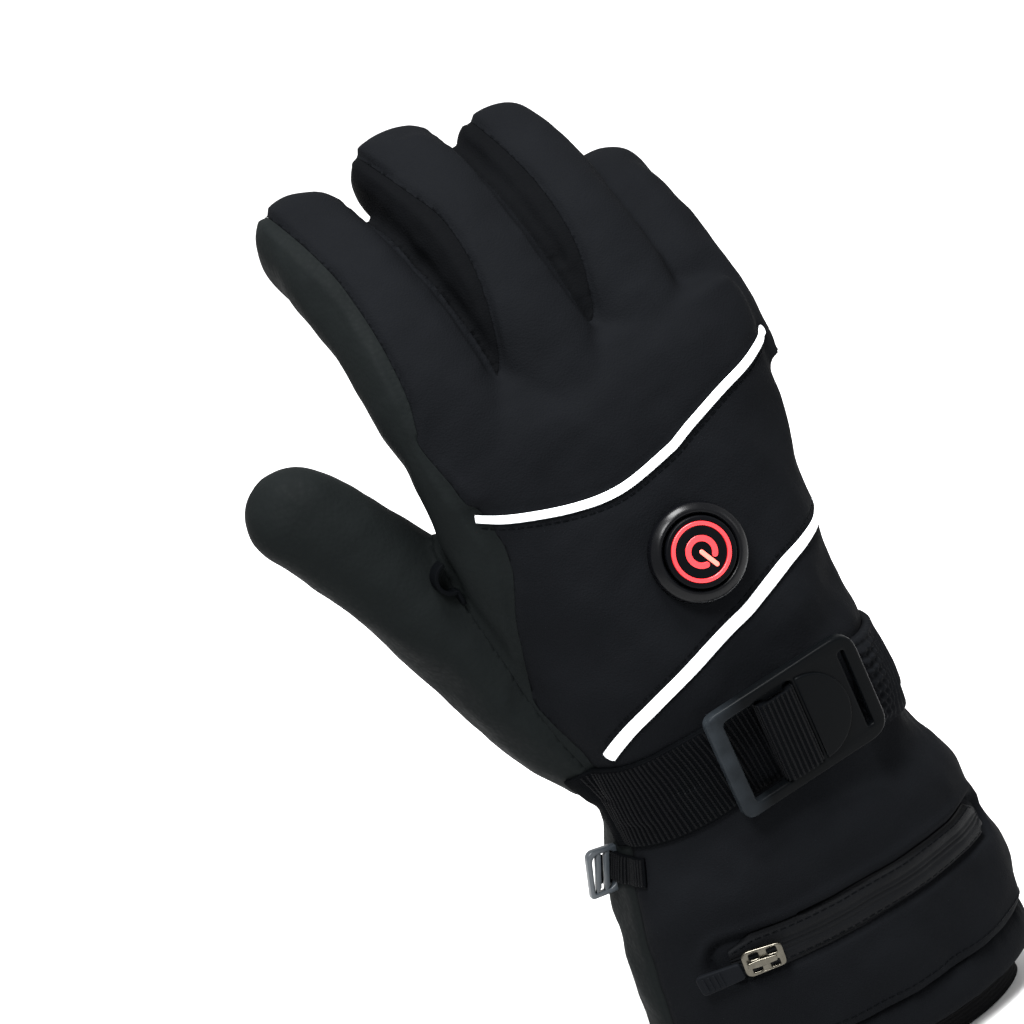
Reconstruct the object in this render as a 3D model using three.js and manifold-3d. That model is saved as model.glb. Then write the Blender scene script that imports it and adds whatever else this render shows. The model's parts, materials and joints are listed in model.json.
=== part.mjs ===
// A padded heated glove for the right hand, shown as a hand fills it.
//
// Frame, in millimetres: +Z runs from the open cuff up to the fingers, the back of the hand faces -Y
// and the thumb points to -X. The origin lies in the cuff's opening, under the middle of the wrist.
//
// The hand and the gauntlet are one skin, lofted through a table of girths. Fingers and thumb are
// limbs that bend along their own centre line. Everything that lies on the glove, such as the piping,
// the strap and the zip, is laid on that same skin, so it follows the glove's sizes.
import * as THREE from "three";
import { mergeVertices } from "three/addons/utils/BufferGeometryUtils.js";
import Module from "manifold-3d";

const wasm = await Module();
wasm.setup();

// Sizes of the glove
const CUFF_LENGTH = 102; // from the opening to the middle of the wrist strap
const HAND_LENGTH = 112; // from there to the gap between middle and ring finger
const CUFF_WIDTH = 104;
const CUFF_DEPTH = 68;
const WRIST_WIDTH = 86;
const WRIST_DEPTH = 60;
const PALM_WIDTH = 102;
const PALM_DEPTH = 46;
const FINGER_LENGTH = 105; // middle finger, from its root inside the hand to its tip
const FINGER_WIDTH = 31;
const FINGER_DEPTH = 30;
const THUMB_LENGTH = 124; // from its root above the wrist to its tip
const THUMB_WIDTH = 46; // at its root
const WALL = 4; // shell fabric, filling and lining together
const GAP = 0.3; // between pieces that touch

// Sizes of what is sewn or fastened to it
const PIPING_WIDTH = 3.4;
const PIPING_HEIGHT = 1.2;
const STRAP_WIDTH = 25;
const STRAP_THICKNESS = 1.7;
const CASING_WIDTH = 27;
const CASING_THICKNESS = 3.6;
const CASING_RIBS = 22;
const RIB_DEPTH = 1;
const BUCKLE_LENGTH = 47;
const BUCKLE_WIDTH = 33;
const BUCKLE_THICKNESS = 3.6;
const BUCKLE_BAR = 4.6;
const HEM_HEIGHT = 12.5;
const HEM_THICKNESS = 6.5;
const HEM_GATHERS = 26;
const INNER_CUFF_REACH = 8.5; // how far the inner cuff stands out of the hem
const INNER_CUFF_LENGTH = 36;
const INNER_CUFF_WALL = 2;
const BUTTON_RADIUS = 13.5;
const BUTTON_HEIGHT = 4.4;
const CAP_RADIUS = 9.6;
const CAP_HEIGHT = 5.4; // top of the cap above the skin
const BUTTON_TRAVEL = 0.8;
const LIGHT_RADIUS = 8.1;
const LIGHT_WIDTH = 1.1;
const SYMBOL_RADIUS = 4.4;
const SYMBOL_WIDTH = 1.6;
const ZIP_WIDTH = 11.5;
const ZIP_HEIGHT = 1.2;
const SLIDER_LENGTH = 11.5;
const SLIDER_WIDTH = 7.5;
const SLIDER_HEIGHT = 3;
const PULL_LENGTH = 13;
const PULL_WIDTH = 6;
const PULL_THICKNESS = 1.6;
const CLIP_LENGTH = 15;
const CLIP_WIDTH = 9.5;
const CLIP_THICKNESS = 2.4;
const CLIP_TAB_WIDTH = 8;
const LOOP_LENGTH = 8.5;
const LOOP_REACH = 4;
const LOOP_WIDTH = 4.5;
const WEBBING_THICKNESS = 1.2;

const RADIANS = Math.PI / 180;
const FULL_TURN = 2 * Math.PI;
const vector = (x, y, z) => new THREE.Vector3(x, y, z);
const mix = (from, to, share) => from + (to - from) * share;
const bell = (distance) => Math.exp(-distance * distance);
const union = (solids) => solids.reduce((sum, solid) => sum.add(solid));
const centreOf = (points) =>
  points.reduce((sum, p) => sum.add(p), vector(0, 0, 0)).divideScalar(points.length);

// Smooth reading of one column of a table whose rows are ordered by their key column.
function readTable(rows, key, column, at) {
  const last = rows.length - 1;
  let i = 0;
  while (i < last - 1 && rows[i + 1][key] < at) i += 1;
  const span = rows[i + 1][key] - rows[i][key];
  const share = Math.min(1, Math.max(0, (at - rows[i][key]) / span));
  const slope = (k) => {
    const before = rows[Math.max(0, k - 1)];
    const after = rows[Math.min(last, k + 1)];
    return (after[column] - before[column]) / (after[key] - before[key]);
  };
  const squared = share * share;
  const cubed = squared * share;
  return (
    (2 * cubed - 3 * squared + 1) * rows[i][column] +
    (cubed - 2 * squared + share) * span * slope(i) +
    (3 * squared - 2 * cubed) * rows[i + 1][column] +
    (cubed - squared) * span * slope(i + 1)
  );
}

// Girths from the opening to the knuckles. A row's place is a share of the cuff or of the hand, and its
// reaches to the four sides are shares of half the width and depth that it follows.
const CUFF = { width: CUFF_WIDTH / 2, depth: CUFF_DEPTH / 2 };
const WRIST = { width: WRIST_WIDTH / 2, depth: WRIST_DEPTH / 2 };
const PALM = { width: PALM_WIDTH / 2, depth: PALM_DEPTH / 2 };
const cuffPlace = (share) => share * CUFF_LENGTH;
const handPlace = (share) => CUFF_LENGTH + share * HAND_LENGTH;
const GIRTHS = [
  { z: cuffPlace(0), of: CUFF, radial: 0.99, ulnar: 1.06, dorsal: 0.94, palmar: 0.92, square: 2.15 },
  { z: cuffPlace(0.12), of: CUFF, radial: 1.01, ulnar: 1.09, dorsal: 0.97, palmar: 0.95, square: 2.15 },
  { z: cuffPlace(0.3), of: CUFF, radial: 1.03, ulnar: 1.1, dorsal: 1.02, palmar: 1.0, square: 2.2 },
  { z: cuffPlace(0.52), of: CUFF, radial: 1.02, ulnar: 1.03, dorsal: 1.04, palmar: 1.0, square: 2.25 },
  { z: cuffPlace(0.74), of: CUFF, radial: 0.96, ulnar: 0.91, dorsal: 1.0, palmar: 0.95, square: 2.35 },
  { z: cuffPlace(0.86), of: WRIST, radial: 1.07, ulnar: 0.97, dorsal: 1.03, palmar: 1.0, square: 2.45 },
  { z: cuffPlace(0.97), of: WRIST, radial: 1.07, ulnar: 0.92, dorsal: 1.0, palmar: 0.98, square: 2.45 },
  { z: handPlace(0.07), of: WRIST, radial: 1.11, ulnar: 0.9, dorsal: 1.04, palmar: 1.0, square: 2.45 },
  { z: handPlace(0.2), of: WRIST, radial: 1.23, ulnar: 0.88, dorsal: 1.07, palmar: 0.98, square: 2.4 },
  { z: handPlace(0.42), of: PALM, radial: 1.14, ulnar: 0.73, dorsal: 1.27, palmar: 1.12, square: 2.35 },
  { z: handPlace(0.64), of: PALM, radial: 1.21, ulnar: 0.77, dorsal: 1.08, palmar: 1.04, square: 2.4 },
  { z: handPlace(0.83), of: PALM, radial: 1.24, ulnar: 0.81, dorsal: 0.88, palmar: 0.98, square: 2.5 },
  { z: handPlace(0.95), of: PALM, radial: 1.25, ulnar: 0.82, dorsal: 0.66, palmar: 0.98, square: 2.6 },
  { z: handPlace(1.03), of: PALM, radial: 1.2, ulnar: 0.76, dorsal: 0.4, palmar: 0.84, square: 2.6 },
].map((row) => ({
  z: row.z,
  radial: row.radial * row.of.width,
  ulnar: row.ulnar * row.of.width,
  dorsal: row.dorsal * row.of.depth,
  palmar: row.palmar * row.of.depth,
  square: row.square,
}));
const WRIST_Z = handPlace(0);
const KNUCKLE_Z = GIRTHS[GIRTHS.length - 1].z;

// Soft folds: angle and place of the middle, how far each reaches around (degrees) and along, and its
// depth, which is negative where the cloth bulges.
const FOLD_DEPTH = 1.5;
const FOLDS = [
  { angle: 20, z: cuffPlace(0.79), around: 60, along: 5.5, depth: 0.9 },
  { angle: -40, z: cuffPlace(0.68), around: 26, along: 7, depth: -0.8 },
  { angle: 58, z: cuffPlace(0.67), around: 24, along: 8, depth: -0.9 },
  { angle: 40, z: handPlace(0.16), around: 40, along: 5, depth: -0.6 },
  { angle: -20, z: cuffPlace(0.35), around: 22, along: 12, depth: -0.6 },
  { angle: 75, z: cuffPlace(0.38), around: 20, along: 9, depth: -0.8 },
  { angle: -30, z: handPlace(0.26), around: 14, along: 11, depth: -0.5 },
  { angle: 84, z: handPlace(0.44), around: 16, along: 6, depth: -1 },
  { angle: 150, z: handPlace(0.3), around: 26, along: 7, depth: 1 },
  { angle: 190, z: handPlace(0.55), around: 30, along: 6, depth: 1 },
];

function foldDepth(angle, z) {
  let depth = 0;
  for (const fold of FOLDS) {
    const turn = ((angle / RADIANS - fold.angle + 540) % 360) - 180;
    depth += FOLD_DEPTH * fold.depth * bell(turn / fold.around) * bell((z - fold.z) / fold.along);
  }
  return depth;
}

// A point of the glove's skin. Angle 0 is the back of the hand and grows towards the little finger.
// An inset moves it inwards; the lining has no folds.
function skin(angle, z, inset = 0) {
  const read = (column) => readTable(GIRTHS, "z", column, z);
  const across = Math.sin(angle);
  const out = Math.cos(angle);
  const shrink = inset + (inset > 0 ? 0 : foldDepth(angle, z));
  const reachX = (across < 0 ? read("radial") : read("ulnar")) - shrink;
  const reachY = (out > 0 ? read("dorsal") : read("palmar")) - shrink;
  const square = read("square");
  const round = (Math.abs(across) ** square + Math.abs(out) ** square) ** (-1 / square);
  return vector(reachX * across * round, -reachY * out * round, z);
}

const NUDGE = 0.01; // radians, for slopes
const NUDGE_ALONG = 0.5;
function skinFrame(angle, z) {
  const point = skin(angle, z);
  const around = skin(angle + NUDGE, z).sub(skin(angle - NUDGE, z)).divideScalar(2 * NUDGE);
  const upward = skin(angle, z + NUDGE_ALONG).sub(skin(angle, z - NUDGE_ALONG));
  const along = upward.divideScalar(2 * NUDGE_ALONG);
  return { point, around, along, normal: around.clone().cross(along).normalize() };
}

// Closed solids from points and triangles, turned so that their faces point out
function solidOf(points, faces) {
  const corners = new Float32Array(points.flatMap((p) => [p.x, p.y, p.z]));
  const make = (list) =>
    new wasm.Manifold(
      new wasm.Mesh({ numProp: 3, vertProperties: corners, triVerts: new Uint32Array(list.flat()) }),
    );
  const solid = make(faces);
  return solid.volume() > 0 ? solid : make(faces.map(([a, b, c]) => [a, c, b]));
}

// Rings of equal count, joined in order and closed at both ends by a fan.
function loft(rings) {
  const count = rings[0].length;
  const points = rings.flat();
  const faces = [];
  for (let r = 0; r + 1 < rings.length; r += 1) {
    for (let i = 0; i < count; i += 1) {
      const a = r * count + i;
      const b = r * count + ((i + 1) % count);
      faces.push([a, b, b + count], [a, b + count, a + count]);
    }
  }
  for (const end of [0, rings.length - 1]) {
    const hub = points.push(centreOf(rings[end])) - 1;
    for (let i = 0; i < count; i += 1) {
      const a = end * count + i;
      const b = end * count + ((i + 1) % count);
      faces.push(end === 0 ? [hub, b, a] : [hub, a, b]);
    }
  }
  return solidOf(points, faces);
}

// A ring whose cross-section pointAt(angle, j) has a fixed number of corners all the way round.
function hoop(sides, corners, pointAt) {
  const points = [];
  const faces = [];
  for (let i = 0; i < sides; i += 1) {
    for (let j = 0; j < corners; j += 1) points.push(pointAt((i / sides) * FULL_TURN, j));
  }
  for (let i = 0; i < sides; i += 1) {
    for (let j = 0; j < corners; j += 1) {
      const a = i * corners + j;
      const b = i * corners + ((j + 1) % corners);
      const c = ((i + 1) % sides) * corners + ((j + 1) % corners);
      const d = ((i + 1) % sides) * corners + j;
      faces.push([a, b, c], [a, c, d]);
    }
  }
  return solidOf(points, faces);
}

// A slab between two grids of points, grid[i][j].
function slab(lower, upper) {
  const rows = lower.length;
  const columns = lower[0].length;
  const points = [...lower.flat(), ...upper.flat()];
  const faces = [];
  const quad = (a, b, c, d) => faces.push([a, b, c], [a, c, d]);
  const at = (layer, i, j) => layer * rows * columns + i * columns + j;
  for (let i = 0; i + 1 < rows; i += 1) {
    for (let j = 0; j + 1 < columns; j += 1) {
      quad(at(0, i, j), at(0, i + 1, j), at(0, i + 1, j + 1), at(0, i, j + 1));
      quad(at(1, i, j), at(1, i, j + 1), at(1, i + 1, j + 1), at(1, i + 1, j));
    }
    quad(at(0, i, 0), at(1, i, 0), at(1, i + 1, 0), at(0, i + 1, 0));
    const end = columns - 1;
    quad(at(0, i, end), at(0, i + 1, end), at(1, i + 1, end), at(1, i, end));
  }
  for (let j = 0; j + 1 < columns; j += 1) {
    const end = rows - 1;
    quad(at(0, 0, j), at(0, 0, j + 1), at(1, 0, j + 1), at(1, 0, j));
    quad(at(0, end, j), at(1, end, j), at(1, end, j + 1), at(0, end, j + 1));
  }
  return solidOf(points, faces);
}

// A solid laid on the skin: place(u, v) gives its angle and z, with u from 0 to 1 along it and v from
// -0.5 to 0.5 across it. Its height and lift may change over it.
function patch(place, stepsU, stepsV, height, lift = () => GAP) {
  const layer = (rise) =>
    Array.from({ length: stepsU + 1 }, (_, i) =>
      Array.from({ length: stepsV + 1 }, (_, j) => {
        const u = i / stepsU;
        const v = j / stepsV - 0.5;
        const [angle, z] = place(u, v);
        const { point, normal } = skinFrame(angle, z);
        return point.addScaledVector(normal, rise(u, v));
      }),
    );
  return slab(layer(lift), layer((u, v) => lift(u, v) + height(u, v)));
}

// The place function of a ribbon whose middle line follows rows of angle (degrees) and z.
function ribbon(path, widthAt) {
  const rows = path.map((row, i) => ({ at: i / (path.length - 1), angle: row.angle * RADIANS, z: row.z }));
  const read = (column, at) => readTable(rows, "at", column, Math.min(1, Math.max(0, at)));
  return (u, v) => {
    const angle = read("angle", u);
    const z = read("z", u);
    const { around, along } = skinFrame(angle, z);
    const forward = (read("angle", u + NUDGE) - read("angle", u - NUDGE)) * around.length();
    const upward = (read("z", u + NUDGE) - read("z", u - NUDGE)) * along.length();
    const offset = (v * widthAt(u)) / Math.hypot(forward, upward);
    return [angle - (offset * upward) / around.length(), z + (offset * forward) / along.length()];
  };
}

// Limbs: rings along a centre line that bends towards the palm
const LIMB_SQUARE = 2.35;
const SPINE_STEPS = 60;
const FINGER_FORM = [
  { at: 0, width: 0.9, depth: 0.94 },
  { at: 0.2, width: 0.93, depth: 0.97 },
  { at: 0.4, width: 1.0, depth: 1.0 },
  { at: 0.6, width: 1.0, depth: 1.0 },
  { at: 0.8, width: 0.96, depth: 0.95 },
  { at: 1, width: 0.9, depth: 0.88 },
];
const FINGER_BEND = [
  { at: 0, bend: 10 },
  { at: 0.25, bend: 24 },
  { at: 0.5, bend: 44 },
  { at: 0.75, bend: 60 },
  { at: 1, bend: 68 },
];
// Roots are shares of half the palm's width and depth, and of the hand's length.
const FINGERS = [
  { across: -0.9, forward: -0.08, root: 0.82, length: 0.97, width: 1.0, lean: -5 },
  { across: -0.3, forward: -0.12, root: 0.83, length: 1.02, width: 1.0, lean: -3.5 },
  { across: 0.25, forward: -0.04, root: 0.82, length: 0.95, width: 0.95, lean: -3.5 },
  { across: 0.66, forward: 0.2, root: 0.77, length: 0.75, width: 0.88, lean: -4 },
];
const THUMB_FORM = [
  { at: 0, width: 0.9, depth: 0.86 },
  { at: 0.2, width: 1.0, depth: 0.84 },
  { at: 0.45, width: 0.82, depth: 0.74 },
  { at: 0.7, width: 0.68, depth: 0.63 },
  { at: 1, width: 0.58, depth: 0.56 },
];
const THUMB = { across: -0.6, forward: 0.3, root: 0.065, abduct: 33.5, palmar: 9.5, curl: 6 };

function spine(start, length, leanAt, bendAt) {
  const point = start.clone();
  return Array.from({ length: SPINE_STEPS + 1 }, (_, i) => {
    const lean = leanAt(i / SPINE_STEPS) * RADIANS;
    const bend = bendAt(i / SPINE_STEPS) * RADIANS;
    const along = vector(Math.sin(lean) * Math.cos(bend), Math.sin(bend), Math.cos(lean) * Math.cos(bend));
    const side = vector(Math.cos(lean), 0, -Math.sin(lean));
    const station = { point: point.clone(), along, side, up: side.clone().cross(along) };
    point.addScaledVector(along, length / SPINE_STEPS);
    return station;
  });
}

function fingerSpine(row) {
  const root = vector(row.across * PALM.width, row.forward * PALM.depth, handPlace(row.root));
  const bendAt = (at) => readTable(FINGER_BEND, "at", "bend", at);
  return spine(root, row.length * FINGER_LENGTH, () => row.lean, bendAt);
}

function thumbSpine() {
  const root = vector(THUMB.across * PALM.width, THUMB.forward * PALM.depth, handPlace(THUMB.root));
  const leanAt = (at) => -THUMB.abduct - THUMB.curl * (at - 0.5);
  return spine(root, THUMB_LENGTH, leanAt, () => THUMB.palmar);
}

const DOME = [20, 42, 64, 82]; // degrees of the round tip
function limb(stations, length, halfWidth, halfDepth, form, inset, rings, sides) {
  const tip = halfWidth * form[form.length - 1].width - inset;
  const domeStart = length - inset - tip;
  const body = Array.from({ length: rings }, (_, i) => (i / (rings - 1)) * domeStart);
  const dome = DOME.map((turn) => domeStart + tip * Math.sin(turn * RADIANS));
  const outline = [...body, ...dome].map((reach) => {
    const at = reach / length;
    const step = Math.min(SPINE_STEPS - 1, Math.floor(at * SPINE_STEPS));
    const station = stations[step];
    const centre = station.point.clone().lerp(stations[step + 1].point, at * SPINE_STEPS - step);
    const round = Math.sqrt(1 - Math.max(0, (reach - domeStart) / tip) ** 2);
    const wide = (readTable(form, "at", "width", at) * halfWidth - inset) * round;
    const deep = (readTable(form, "at", "depth", at) * halfDepth - inset) * round;
    return Array.from({ length: sides }, (_, j) => {
      const across = Math.sin((j / sides) * FULL_TURN);
      const out = Math.cos((j / sides) * FULL_TURN);
      const corner = (Math.abs(across) ** LIMB_SQUARE + Math.abs(out) ** LIMB_SQUARE) ** (-1 / LIMB_SQUARE);
      return centre
        .clone()
        .addScaledVector(station.side, wide * across * corner)
        .addScaledVector(station.up, deep * out * corner);
    });
  });
  return loft(outline);
}

function finger(row, inset, rings, sides) {
  const length = row.length * FINGER_LENGTH;
  const halfWidth = (row.width * FINGER_WIDTH) / 2;
  const halfDepth = (row.width * FINGER_DEPTH) / 2;
  return limb(fingerSpine(row), length, halfWidth, halfDepth, FINGER_FORM, inset, rings, sides);
}

function thumb(inset, rings, sides) {
  const half = THUMB_WIDTH / 2;
  return limb(thumbSpine(), THUMB_LENGTH, half, half, THUMB_FORM, inset, rings, sides);
}

// The hand: its loft, closed by a low crown between the roots of the fingers
const OUTER_SIDES = 28;
const INNER_SIDES = 16;
const OVERRUN = 30; // how far a cutting solid runs past what it cuts
const CROWN = [
  { share: 0.86, rise: 1.6 },
  { share: 0.55, rise: 3.2 },
];

function skinRings(fromZ, toZ, steps, sides, inset) {
  return Array.from({ length: steps + 1 }, (_, i) => {
    const z = mix(fromZ, toZ, i / steps);
    return Array.from({ length: sides }, (_, j) => skin((j / sides) * FULL_TURN, z, inset));
  });
}

function handForm(fromZ, steps, sides, inset) {
  const rings = skinRings(fromZ, KNUCKLE_Z - Math.max(0, inset), steps, sides, inset);
  const rim = rings[steps];
  const middle = centreOf(rim);
  const crown = CROWN.map(({ share, rise }) =>
    rim.map((p) => middle.clone().lerp(p, share).add(vector(0, 0, rise))),
  );
  return loft([...rings, ...crown]);
}

const HAND_RINGS = 10;
const FINGER_RINGS = 6;
const FINGER_SIDES = 12;
const HOLLOW_RINGS = 4; // the hollow's forms are plainer than the outer ones
const HOLLOW_SIDES = 8;
const handOuter = union([
  handForm(WRIST_Z + GAP, HAND_RINGS, OUTER_SIDES, 0),
  ...FINGERS.map((row) => finger(row, 0, FINGER_RINGS, FINGER_SIDES)),
]);
const handInner = union([
  handForm(WRIST_Z - OVERRUN, 2 * HOLLOW_RINGS, INNER_SIDES, WALL),
  ...FINGERS.map((row) => finger(row, WALL, HOLLOW_RINGS, HOLLOW_SIDES)),
]);
const handShell = handOuter.subtract(handInner);

// The same hand a gap larger all round, which shapes the underside of what lies on it.
const handGrown = union([
  handForm(WRIST_Z + GAP, HAND_RINGS, OUTER_SIDES, -GAP),
  ...FINGERS.map((row) => finger(row, -GAP, FINGER_RINGS, FINGER_SIDES)),
]);

// A block that takes in everything above a height, for cutting.
function blockAbove(z) {
  const corners = [[-1, -1], [1, -1], [1, 1], [-1, 1]];
  const ring = (height) =>
    corners.map(([x, y]) => vector(x * 2 * PALM_WIDTH, y * 2 * PALM_WIDTH, height));
  return loft([ring(z), ring(z + 3 * HAND_LENGTH)]);
}
const aboveWrist = blockAbove(WRIST_Z + GAP);
const THUMB_RINGS = 7;
const THUMB_SIDES = 16;
const thumbInner = thumb(WALL, HOLLOW_RINGS, HOLLOW_SIDES + 2);
const thumbGrown = thumb(-GAP, THUMB_RINGS, THUMB_SIDES);
const THUMB_HOLE_RIM = 2; // how much narrower the hole in the palm is than the hollow of the thumb
const thumbHole = thumb(WALL + THUMB_HOLE_RIM, HOLLOW_RINGS, HOLLOW_SIDES + 2).intersect(
  blockAbove(WRIST_Z + WALL),
);

// Seams between the back and the palm side: the angle of the two side seams up the hand, and how high
// they run on the fingers as a share of half their depth.
const SIDE_SEAMS = [
  { share: 0, radial: -80, ulnar: 92 },
  { share: 0.12, radial: -76, ulnar: 92 },
  { share: 0.31, radial: -82, ulnar: 90 },
  { share: 0.46, radial: -70, ulnar: 89 },
  { share: 0.64, radial: -55, ulnar: 88 },
  { share: 0.8, radial: -54, ulnar: 88 },
];
const FINGER_SEAM = 0.74;
const FINGER_SEAM_STATIONS = [0.16, 0.3, 0.44, 0.58, 0.72, 0.86, 1];
const SHEET_ACROSS = [-0.4, 0.08, 0.35, 0.62, 0.9, 1.4]; // shares of the way from seam to seam
const SHEET_HEIGHT = 70;
const SHEET_REACH = 40;

// Everything on the back's side of the seams. A shift moves the sheet that bounds it towards the palm.
function backBlock(shift) {
  const low = [];
  const high = [];
  const addRow = (row) => {
    low.push(row.map(({ point, up }) => point.clone().addScaledVector(up, -shift)));
    high.push(row.map(({ point, up }) => point.clone().addScaledVector(up, SHEET_HEIGHT)));
  };
  const dorsal = vector(0, -1, 0);
  SIDE_SEAMS.forEach(({ share, radial, ulnar }, i) => {
    const from = skin(radial * RADIANS, handPlace(share));
    const to = skin(ulnar * RADIANS, handPlace(share));
    const drop = vector(0, 0, i === 0 ? -OVERRUN : 0);
    addRow(SHEET_ACROSS.map((at) => ({ point: from.clone().lerp(to, at).add(drop), up: dorsal })));
  });
  const spines = FINGERS.map(fingerSpine);
  const addFingerRow = (at, beyond) => {
    const row = FINGERS.map(({ width }, i) => {
      const { point, up, along, side } = spines[i][Math.round(at * SPINE_STEPS)];
      const depth = (readTable(FINGER_FORM, "at", "depth", at) * width * FINGER_DEPTH) / 2;
      const seam = point.clone().addScaledVector(up, FINGER_SEAM * depth).addScaledVector(along, beyond);
      return { point: seam, up, side };
    });
    const first = row[0];
    const last = row[row.length - 1];
    addRow([
      { point: first.point.clone().addScaledVector(first.side, -SHEET_REACH), up: first.up },
      ...row,
      { point: last.point.clone().addScaledVector(last.side, SHEET_REACH), up: last.up },
    ]);
  };
  FINGER_SEAM_STATIONS.forEach((at) => addFingerRow(at, 0));
  addFingerRow(1, OVERRUN);
  return slab(low, high);
}

// The gauntlet, from the hem to the wrist seam, split at its own side seams
const HEM_TOP = INNER_CUFF_REACH + HEM_HEIGHT;
const CUFF_SEAMS = { radial: -76, ulnar: 96 };
function cuffBackBlock(shift) {
  const rows = [HEM_TOP - OVERRUN, 0.3 * CUFF_LENGTH, 0.6 * CUFF_LENGTH, WRIST_Z, WRIST_Z + OVERRUN];
  const line = (z, lift) => {
    const level = Math.min(WRIST_Z, Math.max(0, z));
    const from = skin(CUFF_SEAMS.radial * RADIANS, level);
    const to = skin(CUFF_SEAMS.ulnar * RADIANS, level);
    return [-0.5, 1.5].map((share) => from.clone().lerp(to, share).setZ(z).add(vector(0, -lift, 0)));
  };
  return slab(rows.map((z) => line(z, -shift)), rows.map((z) => line(z, SHEET_HEIGHT)));
}
const GAUNTLET_RINGS = 10;
const gauntlet = loft(skinRings(HEM_TOP + GAP, WRIST_Z, GAUNTLET_RINGS, OUTER_SIDES, 0)).subtract(
  loft(skinRings(HEM_TOP - OVERRUN, WRIST_Z + OVERRUN, GAUNTLET_RINGS - 4, INNER_SIDES, WALL)),
);

// The hem: a soft roll at the end of the gauntlet, gathered all round
const HEM_TUCK = 3.2; // how far the middle of the roll lies inside the gauntlet's skin
const HEM_PUCKER = 0.5;
const HEM_CORNERS = 6;
function hemPoint(angle, j) {
  const turn = (j / HEM_CORNERS) * FULL_TURN;
  const gather = Math.cos(angle * HEM_GATHERS);
  const middle = INNER_CUFF_REACH + HEM_HEIGHT / 2;
  const { point, normal } = skinFrame(angle, middle);
  const pucker = HEM_PUCKER * gather * Math.max(0, Math.cos(turn));
  const out = -HEM_TUCK + Math.cos(turn) * (HEM_THICKNESS / 2) - pucker;
  const flat = (HEM_HEIGHT / 2 / Math.sin(60 * RADIANS)) * (0.97 - 0.03 * gather);
  const rise = Math.sin(turn) * flat;
  return point.addScaledVector(normal.setZ(0).normalize(), out).setZ(middle + rise);
}

// The inner cuff: a plain tube inside the hem
const INNER_CUFF_INSET = HEM_TUCK + HEM_THICKNESS / 2 + GAP;
function innerCuffPoint(angle, j) {
  const inset = INNER_CUFF_INSET + (j === 0 || j === 3 ? 0 : INNER_CUFF_WALL);
  const z = j < 2 ? 0 : INNER_CUFF_LENGTH;
  return skin(angle, INNER_CUFF_REACH, inset).setZ(z);
}

// Reflective piping across the back of the hand
const PIPING_UPPER = [
  { angle: -53, z: handPlace(0.792) },
  { angle: -40, z: handPlace(0.763) },
  { angle: -27.5, z: handPlace(0.738) },
  { angle: -17, z: handPlace(0.733) },
  { angle: -6, z: handPlace(0.755) },
  { angle: 10, z: handPlace(0.797) },
  { angle: 31, z: handPlace(0.84) },
  { angle: 58, z: handPlace(0.866) },
  { angle: 84, z: handPlace(0.868) },
];
const PIPING_LOWER = [
  { angle: 90, z: handPlace(0.435) },
  { angle: 66, z: handPlace(0.427) },
  { angle: 40, z: handPlace(0.416) },
  { angle: 20, z: handPlace(0.392) },
  { angle: -2, z: handPlace(0.341) },
  { angle: -20, z: handPlace(0.283) },
  { angle: -40, z: handPlace(0.209) },
  { angle: -58, z: handPlace(0.137) },
];
const PIPING_STEPS = 16;
function piping(path) {
  const domed = (u, v) => PIPING_HEIGHT * (1 - 2 * v * v);
  return patch(ribbon(path, () => PIPING_WIDTH), PIPING_STEPS, 2, domed).subtract(handGrown);
}

// Solids of three.js geometries, and of outlines with holes
function fromGeometry(geometry) {
  const plain = geometry.index ? geometry : geometry.clone();
  plain.deleteAttribute("normal");
  plain.deleteAttribute("uv");
  const merged = mergeVertices(plain, 1e-3);
  return new wasm.Manifold(
    new wasm.Mesh({
      numProp: 3,
      vertProperties: new Float32Array(merged.attributes.position.array),
      triVerts: new Uint32Array(merged.index.array),
    }),
  );
}

function plate(shape, fromZ, toZ, curveSegments = 3) {
  const options = { depth: toZ - fromZ, bevelEnabled: false, curveSegments };
  return fromGeometry(new THREE.ExtrudeGeometry(shape, options).translate(0, 0, fromZ));
}

function roundedRectangle(x0, x1, halfHeight, radius) {
  const shape = new THREE.Shape();
  shape.moveTo(x0 + radius, -halfHeight);
  shape.lineTo(x1 - radius, -halfHeight);
  shape.absarc(x1 - radius, -halfHeight + radius, radius, -Math.PI / 2, 0);
  shape.lineTo(x1, halfHeight - radius);
  shape.absarc(x1 - radius, halfHeight - radius, radius, 0, Math.PI / 2);
  shape.lineTo(x0 + radius, halfHeight);
  shape.absarc(x0 + radius, halfHeight - radius, radius, Math.PI / 2, Math.PI);
  shape.lineTo(x0, -halfHeight + radius);
  shape.absarc(x0 + radius, -halfHeight + radius, radius, Math.PI, 1.5 * Math.PI);
  return shape;
}

// A seat on the skin: local x runs around the glove, local y up the glove and local z outwards.
function seatAt(angle, z, lift, leanAcross = 0, leanAlong = 0) {
  const { point, around, normal } = skinFrame(angle * RADIANS, z);
  const x = around.clone().normalize();
  const y = normal.clone().cross(x);
  const matrix = new THREE.Matrix4().makeBasis(x, y, normal);
  matrix.setPosition(point.addScaledVector(normal, lift));
  const lean = new THREE.Matrix4().makeRotationY(leanAcross * RADIANS);
  return matrix.multiply(lean).multiply(new THREE.Matrix4().makeRotationX(leanAlong * RADIANS));
}
const seated = (solid, seat) => solid.transform(seat.toArray());

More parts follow.
